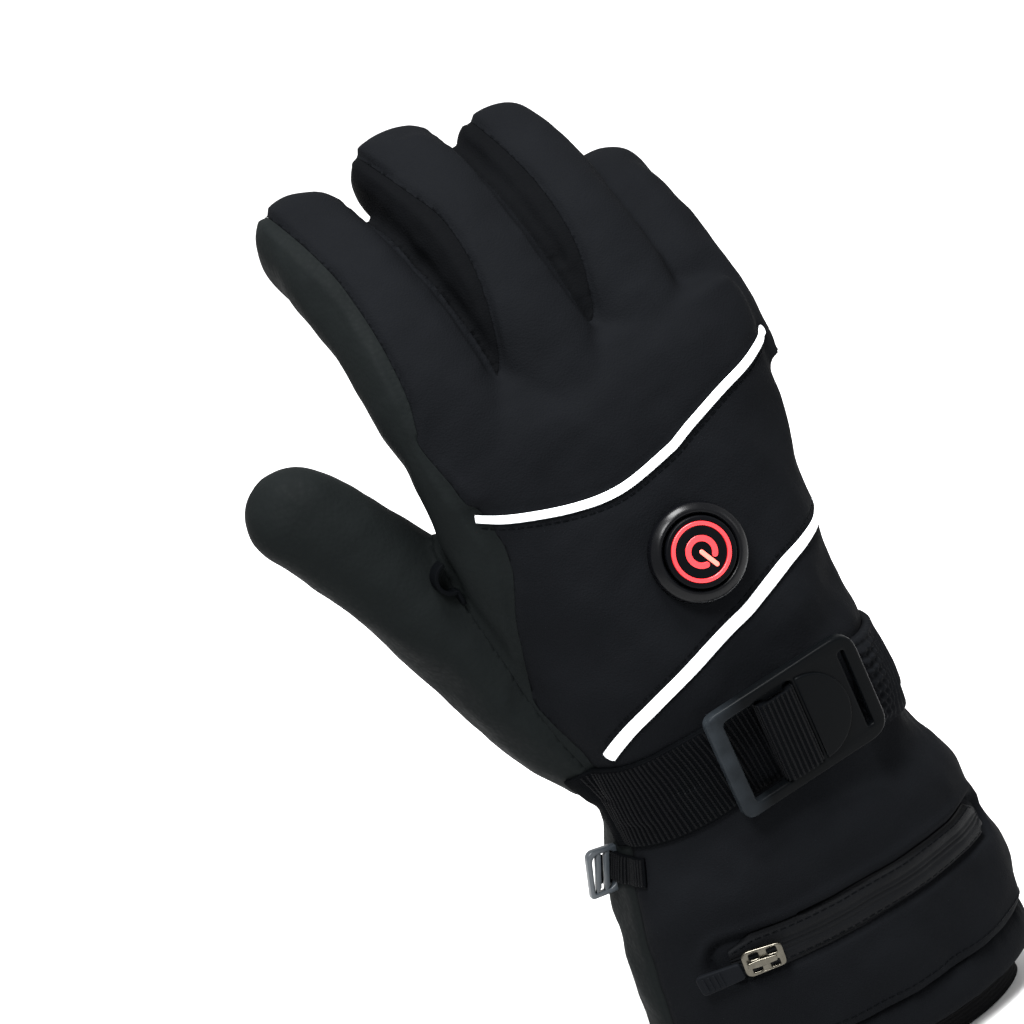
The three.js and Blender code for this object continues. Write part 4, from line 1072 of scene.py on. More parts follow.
def finish_named(name):
    """The finish of that name, made at its first use."""
    if name not in finishes:
        colors = bpy.context.scene.glove_colors
        makers = {
            "softshell": lambda: softshell(name, colors.shell),
            # Finger sides are softshell; their half colour is painted shade between the fingers
            "finger_side_painted_shade": lambda: softshell(name, [0.5 * c for c in colors.shell]),
            "palm_leather": lambda: grained_leather(name, colors.palm),
            "lining": lambda: brushed_lining(name, colors.lining),
            "webbing": lambda: nylon_webbing(name, colors.webbing),
            "rib_thread": lambda: rib_threads(name, [0.8 * c for c in colors.webbing], 0.035),
            "thread": lambda: rib_threads(name, colors.webbing, 0.01),
            "piping": lambda: reflective_piping(name, colors.piping),
            # The buckle's low-x end is painted up to 13 times lighter: a painted highlight
            "buckle_plastic": lambda: moulded_plastic(name, colors.plastic, 0.32, 0.03, 0.022, 13),
            "bezel_plastic": lambda: moulded_plastic(name, colors.bezel, 0.26, 0.005, 0.09),
            "clip_plastic": lambda: moulded_plastic(name, [16 * c for c in colors.plastic], 0.3, 0.01, 0.4),
            "cap_plastic": lambda: moulded_plastic(name, colors.bezel, 0.36, 0.01, 0.03),
            "red_light": lambda: lit_guide(name, colors.light, 0.9),
            "sign_light": lambda: lit_guide(name, colors.sign, 1.0),
            "zip_tape": lambda: coated_tape(name, [0.75 * c for c in colors.shell]),
            "nickel": lambda: polished_nickel(name, colors.nickel),
            "pull_rubber": lambda: pull_rubber(name, colors.rubber),
        }
        finishes[name] = makers[name]()
    return finishes[name]


def riding(obj):
    """A piece that replaces no node: it rides on the glove's body."""
    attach(obj, GLOVE)


def dress(obj, finish, nodes, body=GLOVE, smooth=True):
    """Gives a piece its finish and its body, and hides the nodes that it stands for."""
    obj.data.materials.clear()
    obj.data.materials.append(finish_named(finish))
    if smooth:
        obj.data.shade_smooth()
    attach(obj, body)
    if nodes:
        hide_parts(*nodes)
    return obj


# The hand: outer and inner forms
BUTTON = {"angle": -6, "z": hand_place(0.525), "lean_across": -5, "lean_along": -5}
BUTTON_RADIUS = 13.5
SKIN_EASE = 0.8
HAND_DETAIL = {"hand": (60, 120), "finger": (40, 56), "thumb": (44, 60)}
HOLLOW_DETAIL = {"hand": (24, 40), "finger": (16, 20), "thumb": (16, 20)}


def hand_parts(detail, inset, low):
    parts = [loft(hand_rings(low, *detail["hand"], inset))]
    parts += [loft(finger_rings(row, inset, *detail["finger"])) for row in FINGERS]
    return parts + [loft(thumb_rings(inset, *detail["thumb"]))]


# Sizes of the soft creases in millimetres, and the share of the depth that the fine ones have
HAND_CREASE = 26
CUFF_CREASE = 24
FINE_CREASE = 9
FINE_SHARE = 0.4


def creases(points, depth, broad, seed):
    """Broad and fine soft creases; the fine ones take the next seed."""
    fine = FINE_SHARE * depth * soft_noise(points, FINE_CREASE, seed + 1)
    return depth * soft_noise(points, broad, seed) + fine


def held_hand(points):
    """Where the cloth of the hand is sewn down: along the seams, the piping and under the strap."""
    seam = np.clip((4.5 - seam_distances(points)) / 2.5, 0, 1)
    wrist = np.clip((WRIST_Z + 20 - points[:, 2]) / 6, 0, 1)
    trims = [np.clip((5 - to_polyline(points, path_line(path))) / 3, 0, 0.9) for path in PIPINGS]
    button = skin(BUTTON["angle"] * RADIANS, BUTTON["z"])
    around = np.clip((BUTTON_RADIUS + 5 - np.linalg.norm(points - button, axis=1)) / 4, 0, 1)
    return np.max([seam, wrist, around, *trims], axis=0)


def box_between(name, low, high):
    points = [(x, y, z) for z in (low[2], high[2]) for y in (low[1], high[1]) for x in (low[0], high[0])]
    faces = [[0, 2, 3, 1], [4, 5, 7, 6], [0, 1, 5, 4], [2, 6, 7, 3], [0, 4, 6, 2], [1, 3, 7, 5]]
    return new_object(name, np.array(points, float), faces)


# Gap between two cloths at their seam, how far the skin and the hollow start below the wrist seam, and
# the spacing of the hollow's points
SEAM_GAP = 0.15
WRIST_OVERLAP = 8
HOLLOW_OVERLAP = 20
HOLLOW_VOXEL = 2.4
# Zones that part the thumb from the palm: inset and grid of the thumb's and the fingers', grid and
# inset of the hand's; a negative inset is room around the skin
THUMB_ZONE = (-4.0, 24, 40)
HAND_ZONE = (40, 90, -0.8)
FINGER_ZONE = (-1.0, 20, 32)
FINGER_ZONE_VOXEL = 2.0
# Half width and top of the block that keeps what lies above the wrist seam
BLOCK_HALF = 150
BLOCK_TOP = 400
# A finger's side faces its neighbour past this share of half its width, above this share of half its
# depth and past this share of its length
FACING_ACROSS = 0.15
FACING_RISE = -0.9
FACING_FROM = 0.1


def between_fingers(points):
    """True for points on the sides of the fingers that face another finger."""
    spines = [finger_spine(row) for row in FINGERS]
    nearest = np.full(len(points), np.inf)
    result = np.zeros(len(points), bool)
    for index, (form, line) in enumerate(zip(FINGERS, spines)):
        stations = slice(round(FACING_FROM * SPINE_STEPS), None)
        centres = line["point"][stations]
        gap = np.linalg.norm(points[:, None] - centres[None], axis=2)
        step = gap.argmin(axis=1)
        away = points - centres[step]
        across = np.einsum("ij,ij->i", away, line["side"][stations][step]) / (form["width"] * FINGER_HALF[0])
        rise = np.einsum("ij,ij->i", away, line["up"][stations][step]) / (form["width"] * FINGER_HALF[1])
        inward = (across < 0 if index > 0 else False) | (across > 0 if index < 3 else False)
        facing = inward & (np.abs(across) > FACING_ACROSS) & (rise > FACING_RISE)
        closer = gap.min(axis=1) < nearest
        result = np.where(closer, facing, result)
        nearest = np.minimum(nearest, gap.min(axis=1))
    return result & (points[:, 2] > hand_place(0.9))


class GLOVE_OT_hand(bpy.types.Operator):
    """Back panel, palm panel and thumb: one padded skin, swollen as cloth and cut along its seams"""

    bl_idname = "glove.hand"
    bl_label = "Padded Hand"

    def execute(self, context):
        cloth = context.scene.glove_cloth
        low = WRIST_Z - WRIST_OVERLAP
        skin_object = fused("hand_skin", hand_parts(HAND_DETAIL, 0.0, low), cloth.skin_voxel / MM)
        smoothed(skin_object, 3)
        points = points_of(skin_object)
        field = swell("hand_swell", hand_parts(HAND_DETAIL, 0.0, low), held_hand, cloth)
        points = points + spread(points, *field)
        set_points(skin_object, points)
        smoothed(skin_object, 3)
        points = points_of(skin_object)
        normals = normals_of(skin_object)
        seam = seam_distances(points)
        sewn = bell(seam / (cloth.seam_width / MM))
        wrinkle = cloth.wrinkle_depth / MM
        rise = creases(points, wrinkle, HAND_CREASE, 11)
        pucker = soft_noise(points, 7, 13) * bell((seam - 2.2) / 2.2)
        ridge = 0.3 * bell((seam - 2.2) / 0.7)
        rise = rise * (1 - sewn) + 0.2 * pucker + ridge - (cloth.seam_depth / MM) * sewn
        rise -= SKIN_EASE * np.clip((points[:, 2] - WRIST_Z) / 15, 0, 1)
        for path in PIPINGS:
            rise -= 0.5 * bell((to_polyline(points, path_line(path)) - 2.2) / 0.7)
        set_points(skin_object, points + normals * rise[:, None])
        smoothed(skin_object, 2)
        surfaces["hand"] = tree_of(skin_object)

        hollow_from = WRIST_Z - HOLLOW_OVERLAP
        hollow = fused("hand_hollow", hand_parts(HOLLOW_DETAIL, WALL, hollow_from), HOLLOW_VOXEL)
        low_corner = (-BLOCK_HALF, -BLOCK_HALF, WRIST_Z + SEAM_GAP)
        wrist_block = box_between("wrist_block", low_corner, (BLOCK_HALF, BLOCK_HALF, BLOCK_TOP))
        shell = boolean(boolean(skin_object, hollow, "DIFFERENCE"), wrist_block, "INTERSECT")
        back = copy_of(shell, "back_shell")
        boolean(back, sheet_block("back_block", 0.0), "INTERSECT")
        palm = copy_of(shell, "palm_shell")
        boolean(palm, sheet_block("palm_block", SEAM_GAP), "DIFFERENCE")
        thumb = copy_of(palm, "thumb_shell")
        zone = new_object("thumb_zone", *loft(thumb_rings(*THUMB_ZONE)))
        body = new_object("hand_zone", *loft(hand_rings(low, *HAND_ZONE)))
        lofts = [loft(finger_rings(row, *FINGER_ZONE)) for row in FINGERS]
        fingers = fused("finger_zone", lofts, FINGER_ZONE_VOXEL)
        boolean(boolean(zone, body, "DIFFERENCE"), fingers, "DIFFERENCE")
        boolean(thumb, zone, "INTERSECT")
        boolean(palm, zone, "DIFFERENCE")
        for tool in (hollow, wrist_block, shell, zone, body, fingers):
            dropped(tool)
        for name in ("back_block", "palm_block"):
            dropped(bpy.data.objects[name])
        dress(back, "softshell", ["back_panel"])
        dress(palm, "palm_leather", ["palm_panel"])
        # Faces between the fingers take the darker softshell: painted shade where the fingers shade each
        # other
        palm.data.materials.append(finish_named("finger_side_painted_shade"))
        centres = np.empty(len(palm.data.polygons) * 3)
        palm.data.polygons.foreach_get("center", centres)
        facing = between_fingers(centres.reshape(-1, 3) / MM)
        palm.data.polygons.foreach_set("material_index", facing.astype(int))
        dress(thumb, "palm_leather", ["thumb_panel"])
        return {"FINISHED"}


# The gauntlet
CUFF_SEAM_RADIAL = -76.0
CUFF_SEAM_ULNAR = 96.0
CUFF_SEAM_STEP = 0.3
PANEL_ROWS = 84
PANEL_COLUMNS = (190, 140)
ZIP_WIDTH = 11.5
# The hem's roll: its grid, its middle and half thickness off the skin, and sizes and depths of its folds
HEM_GRID = (520, 22)
HEM_SINK = -3.2
HEM_BULGE = 3.3
HEM_GATHER = 7
HEM_TUCK = 3.6
HEM_SWELLING = 30
GATHER_DEPTH = 0.8
SWELLING_DEPTH = 0.32
# Wall of the inner cuff: how far inside the outer skin, and height
INNER_CUFF_SIDES = 360
INNER_CUFF_PROFILE = [
    (7.0, 0.35), (6.85, 0.0), (7.4, 0.0), (8.4, 0.0), (8.8, 0.4), (8.8, 6), (8.8, 20), (8.8, 36),
    (7.0, 36), (7.0, 20), (7.0, 6),
]


def held_gauntlet(points):
    """Where the gauntlet's cloth is held: at both ends, at its side seams and around the zip."""
    ends = np.clip((HEM_TOP + 4 - points[:, 2]) / 3, 0, 1) + np.clip((points[:, 2] - WRIST_Z + 16) / 4, 0, 1)
    rows = np.linspace(HEM_TOP, WRIST_Z, 30)
    seams = [skin(angle * RADIANS, rows) for angle in (CUFF_SEAM_RADIAL, CUFF_SEAM_ULNAR)]
    lines = [np.clip((4.5 - to_polyline(points, line)) / 2.5, 0, 1) for line in seams]
    tape = np.clip((8.5 - to_polyline(points, path_line(ZIP_PATH))) / 3, 0, 1)
    return np.clip(np.max([ends, *lines, tape], axis=0), 0, 1)


class GLOVE_OT_gauntlet(bpy.types.Operator):
    """Both halves of the gauntlet, the gathered hem and the inner cuff"""

    bl_idname = "glove.gauntlet"
    bl_label = "Gauntlet and Hem"

    def panel(self, context, name, start, end, columns, field):
        """One half of the gauntlet between two angles, as a padded slab."""
        cloth = context.scene.glove_cloth
        rows = PANEL_ROWS
        z = np.linspace(HEM_TOP + SEAM_GAP, WRIST_Z - SEAM_GAP, rows)[:, None]
        turn = np.linspace(start, end, columns)[None, :] * RADIANS
        outer, _, _, normal = skin_frame(turn, z)
        flat = outer.reshape(-1, 3)
        if field is not None:
            flat = flat + spread(flat, *field)
        wrinkle = cloth.wrinkle_depth / MM
        rise = creases(flat, wrinkle, CUFF_CREASE, 21)
        depth = cloth.seam_depth / MM
        width = cloth.seam_width / MM
        for angle in (start, end):
            line = skin(angle * RADIANS, np.linspace(HEM_TOP, WRIST_Z, 40))
            rise -= depth * bell(to_polyline(flat, line) / width)
        gap = to_polyline(flat, path_line(ZIP_PATH))
        edge = ZIP_WIDTH / 2
        rise -= 1.3 * bell((gap - edge) / 1.1) + 0.9 * (gap < edge)
        above = np.clip((flat[:, 2] - ZIP_Z) / 3, 0, 1)
        rise += 0.7 * above * bell((gap - edge - 2.4) / 1.6)
        rise -= 1.0 * bell((flat[:, 2] - HEM_TOP) / 1.6)
        flat = flat + normal.reshape(-1, 3) * rise[:, None]
        inner = skin(turn, z, WALL)
        obj = turned_outwards(new_object(name, *slab(inner, flat.reshape(outer.shape))))
        surfaces[name] = BVHTree.FromPolygons(flat.tolist(), grid_faces(rows, columns))
        return obj

    def execute(self, context):
        field = None
        form = [loft(skin_rings(HEM_TOP - 6, WRIST_Z + 6, 40, 120, 0.0))]
        field = swell("gauntlet_swell", form, held_gauntlet, context.scene.glove_cloth)
        start, end = CUFF_SEAM_ULNAR + CUFF_SEAM_STEP, CUFF_SEAM_RADIAL + 360 - CUFF_SEAM_STEP
        spans = ((CUFF_SEAM_RADIAL, CUFF_SEAM_ULNAR), (start, end))
        names = ("gauntlet_back_shell", "gauntlet_palm_shell")
        back, palm = (
            self.panel(context, name, *span, columns, field)
            for name, span, columns in zip(names, spans, PANEL_COLUMNS)
        )
        dress(back, "softshell", ["gauntlet_back"])
        dress(palm, "palm_leather", ["gauntlet_palm"])
        self.hem()
        self.inner_cuff()
        return {"FINISHED"}

    def hem(self):
        sides, corners = HEM_GRID
        angle = np.arange(sides) / sides * FULL_TURN
        turn = (np.arange(corners) / corners * FULL_TURN)[None, :]
        middle = INNER_CUFF_REACH + HEM_HEIGHT / 2
        point, _, _, normal = skin_frame(angle, np.full(sides, middle))
        normal[:, 2] = 0
        normal = unit(normal)[:, None, :]
        ring = point.copy()
        gathers = soft_noise(ring, HEM_GATHER, 31) + 0.6 * soft_noise(ring, HEM_TUCK, 32)
        swellings = soft_noise(ring, HEM_SWELLING, 33)
        flat = np.abs(np.cos(turn)) ** 0.75 * np.sign(np.cos(turn))
        upper = np.clip(np.sin(turn), 0, 1) ** 2
        folds = SWELLING_DEPTH * swellings[:, None] + GATHER_DEPTH * gathers[:, None] * upper
        out = HEM_SINK + HEM_BULGE * flat + np.maximum(0, np.cos(turn)) * folds
        rise = np.sin(turn) * (HEM_HEIGHT / 2 - 0.05 + 0.12 * gathers[:, None])
        rings = point[:, None, :] + normal * out[..., None]
        rings[..., 2] = middle + np.clip(rise, -HEM_HEIGHT / 2, HEM_HEIGHT / 2 - 0.2)
        obj = turned_outwards(new_object("hem_roll", *hoop(rings)))
        dress(obj, "softshell", ["cuff_hem"])

    def inner_cuff(self):
        angle = np.arange(INNER_CUFF_SIDES) / INNER_CUFF_SIDES * FULL_TURN
        rings = []
        for inset, z in INNER_CUFF_PROFILE:
            ring = skin(angle, np.full(INNER_CUFF_SIDES, INNER_CUFF_REACH), inset)
            ring = ring + unit(ring * [1, 1, 0]) * (0.25 * soft_noise(ring, 16, 41) * (z < 10))[:, None]
            ring[:, 2] = z
            rings.append(ring)
        obj = turned_outwards(new_object("inner_cuff_tube", *hoop(np.array(rings).transpose(1, 0, 2))))
        dress(obj, "lining", ["inner_cuff"])


PIPING_GRID = (260, 9)


class GLOVE_OT_piping(bpy.types.Operator):
    """Two reflective pipings across the back of the hand"""

    bl_idname = "glove.piping"
    bl_label = "Reflective Piping"

    def execute(self, context):
        trim = context.scene.glove_trim
        width = trim.piping_width / MM
        height = trim.piping_height / MM
        domed = lambda u, v: height * (1 - 3.2 * np.abs(v) ** 3)
        upper_width = lambda u: 0.85 * width * (0.9 + 0.1 * u)
        lower_width = lambda u: width * np.clip(0.62 + 1.2 * u, 0, 1.12)
        widths = (upper_width, lower_width)
        for side, path, width_at in zip(("upper", "lower"), PIPINGS, widths):
            grids = laid(path, *PIPING_GRID, width_at, domed, even=6)
            obj = turned_outwards(new_object(f"{side}_piping", *slab(*grids)))
            dress(obj, "piping", [f"piping_{side}"])
        return {"FINISHED"}


# Hard parts drawn in millimetres around a seat: x runs around the glove, y up the glove, z outwards
ROUND_SIDES = 128


def rounded(corners, steps=6):
    """A closed outline whose corners (x, y, cut) are rounded off over their cut length."""
    points = []
    for index, (x, y, cut) in enumerate(corners):
        here = np.array([x, y], float)
        before = np.array(corners[index - 1][:2]) - here
        after = np.array(corners[(index + 1) % len(corners)][:2]) - here
        start = here + before * min(cut / np.linalg.norm(before), 0.5)
        end = here + after * min(cut / np.linalg.norm(after), 0.5)
        for t in np.linspace(0, 1, steps + 1 if cut else 1):
            points.append((1 - t) ** 2 * start + 2 * t * (1 - t) * here + t**2 * end)
    return np.array(points)


def rounded_rectangle(x0, x1, half, cut, far_cut=None):
    far_cut = cut if far_cut is None else far_cut
    return rounded([(x0, -half, cut), (x1, -half, far_cut), (x1, half, far_cut), (x0, half, cut)])


def mirrored(corners):
    """A closed rounded outline from its lower half, corners (x, y, cut) given from left to right."""
    return rounded([*corners, *((x, -y, cut) for x, y, cut in reversed(corners))])


def arc(radius, start, end, steps=24):
    turn = np.radians(np.linspace(start, end, steps))
    return np.stack([radius * np.cos(turn), radius * np.sin(turn)], -1)


def plate(name, outlines, low, high, bevel):
    """A flat part from closed outlines, the later ones holes, with rounded edges."""
    curve = bpy.data.curves.new(name, "CURVE")
    curve.dimensions = "2D"
    curve.fill_mode = "BOTH"
    curve.extrude = ((high - low) / 2 - bevel) * MM
    curve.bevel_depth = bevel * MM
    curve.bevel_resolution = 3
    curve.offset = -bevel * MM
    for outline in outlines:
        spline = curve.splines.new("POLY")
        spline.points.add(len(outline) - 1)
        for point, (x, y) in zip(spline.points, outline):
            point.co = (x * MM, y * MM, 0, 1)
        spline.use_cyclic_u = True
    drawn = bpy.data.objects.new(name, curve)
    bpy.context.scene.collection.objects.link(drawn)
    mesh = bpy.data.meshes.new_from_object(drawn.evaluated_get(bpy.context.evaluated_depsgraph_get()))
    bpy.data.objects.remove(drawn)
    bpy.data.curves.remove(curve)
    mesh.transform(Matrix.Translation((0, 0, (low + high) / 2 * MM)))
    obj = bpy.data.objects.new(name, mesh)
    bpy.context.scene.collection.objects.link(obj)
    return turned_outwards(obj)


def lathe(name, profile):
    """A turned part whose closed profile lists radius, height and how far the corner is rounded."""
    outline = rounded(profile)
    turn = np.arange(ROUND_SIDES)[:, None] / ROUND_SIDES * FULL_TURN
    radius = outline[None, :, 0]
    height = outline[None, :, 1] + 0 * turn
    rings = np.stack([radius * np.cos(turn), radius * np.sin(turn), height], -1)
    return turned_outwards(new_object(name, *hoop(rings)))


def merged(name, objects):
    """Several meshes as one."""
    work = bmesh.new()
    for obj in objects:
        work.from_mesh(obj.data)
        dropped(obj)
    mesh = bpy.data.meshes.new(name)
    work.to_mesh(mesh)
    work.free()
    obj = bpy.data.objects.new(name, mesh)
    bpy.context.scene.collection.objects.link(obj)
    return obj


def placed(points, seat):
    """Points given around a seat, in the glove's own frame."""
    return points @ seat[:3, :3].T + seat[:3, 3]


# Node trees for repeats
def tree_with(name, sockets):
    tree = bpy.data.node_groups.new(name, "GeometryNodeTree")
    tree.interface.new_socket("Lines", in_out="INPUT", socket_type="NodeSocketGeometry")
    for label, kind in sockets:
        tree.interface.new_socket(label, in_out="INPUT", socket_type=kind)
    tree.interface.new_socket("Threads", in_out="OUTPUT", socket_type="NodeSocketGeometry")
    return tree, tree.nodes.new("NodeGroupInput"), tree.nodes.new("NodeGroupOutput")


def ended(tree, threads, material, last):
    """Ends a tree with smooth shading, real geometry and its material."""
    smooth = tree.nodes.new("GeometryNodeSetShadeSmooth")
    real = tree.nodes.new("GeometryNodeRealizeInstances")
    painted = tree.nodes.new("GeometryNodeSetMaterial")
    tree.links.new(threads, smooth.inputs["Geometry"])
    tree.links.new(smooth.outputs["Geometry"], real.inputs["Geometry"])
    tree.links.new(real.outputs["Geometry"], painted.inputs["Geometry"])
    tree.links.new(material, painted.inputs["Material"])
    tree.links.new(painted.outputs["Geometry"], last.inputs["Threads"])


def math_node(tree, operation, one, other):
    node = tree.nodes.new("ShaderNodeMath")
    node.operation = operation
    for socket, value in zip(node.inputs, (one, other)):
        if isinstance(value, (int, float)):
            socket.default_value = value
        else:
            tree.links.new(value, socket)
    return node.outputs["Value"]


def rib_tree():
    """Lines to beaded threads, such as the raised ribs of webbing."""
    kinds = [("Radius", "NodeSocketFloat"), ("Bead", "NodeSocketFloat"), ("Material", "NodeSocketMaterial")]
    tree, given, last = tree_with("webbing_ribs", kinds)
    curve = tree.nodes.new("GeometryNodeMeshToCurve")
    even = tree.nodes.new("GeometryNodeResampleCurve")
    even.mode = "LENGTH"
    place = tree.nodes.new("GeometryNodeSplineParameter")
    beads = math_node(tree, "DIVIDE", place.outputs["Length"], given.outputs["Bead"])
    wave = math_node(tree, "SINE", beads, 0.0)
    swollen = tree.nodes.new("GeometryNodeSetCurveRadius")
    section = tree.nodes.new("GeometryNodeCurvePrimitiveCircle")
    section.inputs["Resolution"].default_value = 6
    sweep = tree.nodes.new("GeometryNodeCurveToMesh")
    tree.links.new(given.outputs["Lines"], curve.inputs["Mesh"])
    tree.links.new(curve.outputs["Curve"], even.inputs["Curve"])
    tree.links.new(math_node(tree, "MULTIPLY", given.outputs["Bead"], 1.6), even.inputs["Length"])
    tree.links.new(even.outputs["Curve"], swollen.inputs["Curve"])
    size = math_node(tree, "ADD", math_node(tree, "MULTIPLY", wave, 0.2), 1.0)
    tree.links.new(size, swollen.inputs["Radius"])
    tree.links.new(swollen.outputs["Curve"], sweep.inputs["Curve"])
    tree.links.new(given.outputs["Radius"], section.inputs["Radius"])
    tree.links.new(section.outputs["Curve"], sweep.inputs["Profile Curve"])
    sweep.inputs["Fill Caps"].default_value = True
    ended(tree, sweep.outputs["Mesh"], given.outputs["Material"], last)
    return tree


def stitch_tree():
    """Lines to rows of single stitches."""
    kinds = [("Radius", "NodeSocketFloat"), ("Pitch", "NodeSocketFloat"), ("Material", "NodeSocketMaterial")]
    tree, given, last = tree_with("stitches", kinds)
    curve = tree.nodes.new("GeometryNodeMeshToCurve")
    points = tree.nodes.new("GeometryNodeCurveToPoints")
    points.mode = "LENGTH"
    line = tree.nodes.new("GeometryNodeCurvePrimitiveLine")
    half = math_node(tree, "MULTIPLY", given.outputs["Pitch"], 0.34)
    for label, share in (("Start", -1.0), ("End", 1.0)):
        corner = tree.nodes.new("ShaderNodeCombineXYZ")
        tree.links.new(math_node(tree, "MULTIPLY", half, share), corner.inputs["Z"])
        tree.links.new(corner.outputs["Vector"], line.inputs[label])
    section = tree.nodes.new("GeometryNodeCurvePrimitiveCircle")
    section.inputs["Resolution"].default_value = 6
    sweep = tree.nodes.new("GeometryNodeCurveToMesh")
    sweep.inputs["Fill Caps"].default_value = True
    copies = tree.nodes.new("GeometryNodeInstanceOnPoints")
    tree.links.new(given.outputs["Lines"], curve.inputs["Mesh"])
    tree.links.new(curve.outputs["Curve"], points.inputs["Curve"])
    tree.links.new(given.outputs["Pitch"], points.inputs["Length"])
    tree.links.new(given.outputs["Radius"], section.inputs["Radius"])
    tree.links.new(line.outputs["Curve"], sweep.inputs["Curve"])
    tree.links.new(section.outputs["Curve"], sweep.inputs["Profile Curve"])
    tree.links.new(points.outputs["Points"], copies.inputs["Points"])
    tree.links.new(points.outputs["Rotation"], copies.inputs["Rotation"])
    tree.links.new(sweep.outputs["Mesh"], copies.inputs["Instance"])
    ended(tree, copies.outputs["Instances"], given.outputs["Material"], last)
    return tree


node_trees = {}


def threaded(name, lines, maker, values, finish):
    """Lines of points turned into threads by a node tree and kept as a plain mesh."""
    if maker not in node_trees:
        node_trees[maker] = maker()
    tree = node_trees[maker]
    points = np.vstack(lines)
    edges, start = [], 0
    for line in lines:
        edges += [(start + k, start + k + 1) for k in range(len(line) - 1)]
        start += len(line)
    obj = new_object(name, points, [], edges)
    nodes = obj.modifiers.new(name, "NODES")
    nodes.node_group = tree
    given = {item.name: item.identifier for item in tree.interface.items_tree if item.in_out == "INPUT"}
    for label, value in values.items():
        nodes[given[label]] = value
    nodes[given["Material"]] = finish_named(finish)
    baked(obj)
    if not obj.data.polygons:
        raise RuntimeError(f"{name} came out empty")
    return obj


def ribbed(name, lines, trim):
    values = {"Radius": trim.rib_radius, "Bead": 0.36 * trim.rib_radius}
    return threaded(name, lines, rib_tree, values, "rib_thread")


def stitched(name, lines, trim):
    values = {"Radius": trim.stitch_radius, "Pitch": trim.stitch_pitch}
    return threaded(name, lines, stitch_tree, values, "thread")


# The wrist strap, its buckle and the elastic casing
BUCKLE = {"angle": 0, "z": WRIST_Z + 7, "lift": 3.4, "spin": 6}
BUCKLE_HALF = 23.5
BUCKLE_SIDE = 16.5
BUCKLE_BAR = 4.6
BUCKLE_THICKNESS = 3.6
WINDOW_HALF = 13.0
WRAP_BAR = (-6.58, 0.47)
WRAP_ROOM = 2.3
BACK_SLOT = (17.86, 19.74)
TAB_RISE = 0.8


def buckle_seat():
    spin = np.array(Matrix.Rotation(BUCKLE["spin"] * RADIANS, 4, "Z"))
    return seat_at(BUCKLE["angle"], BUCKLE["z"], BUCKLE["lift"]) @ spin


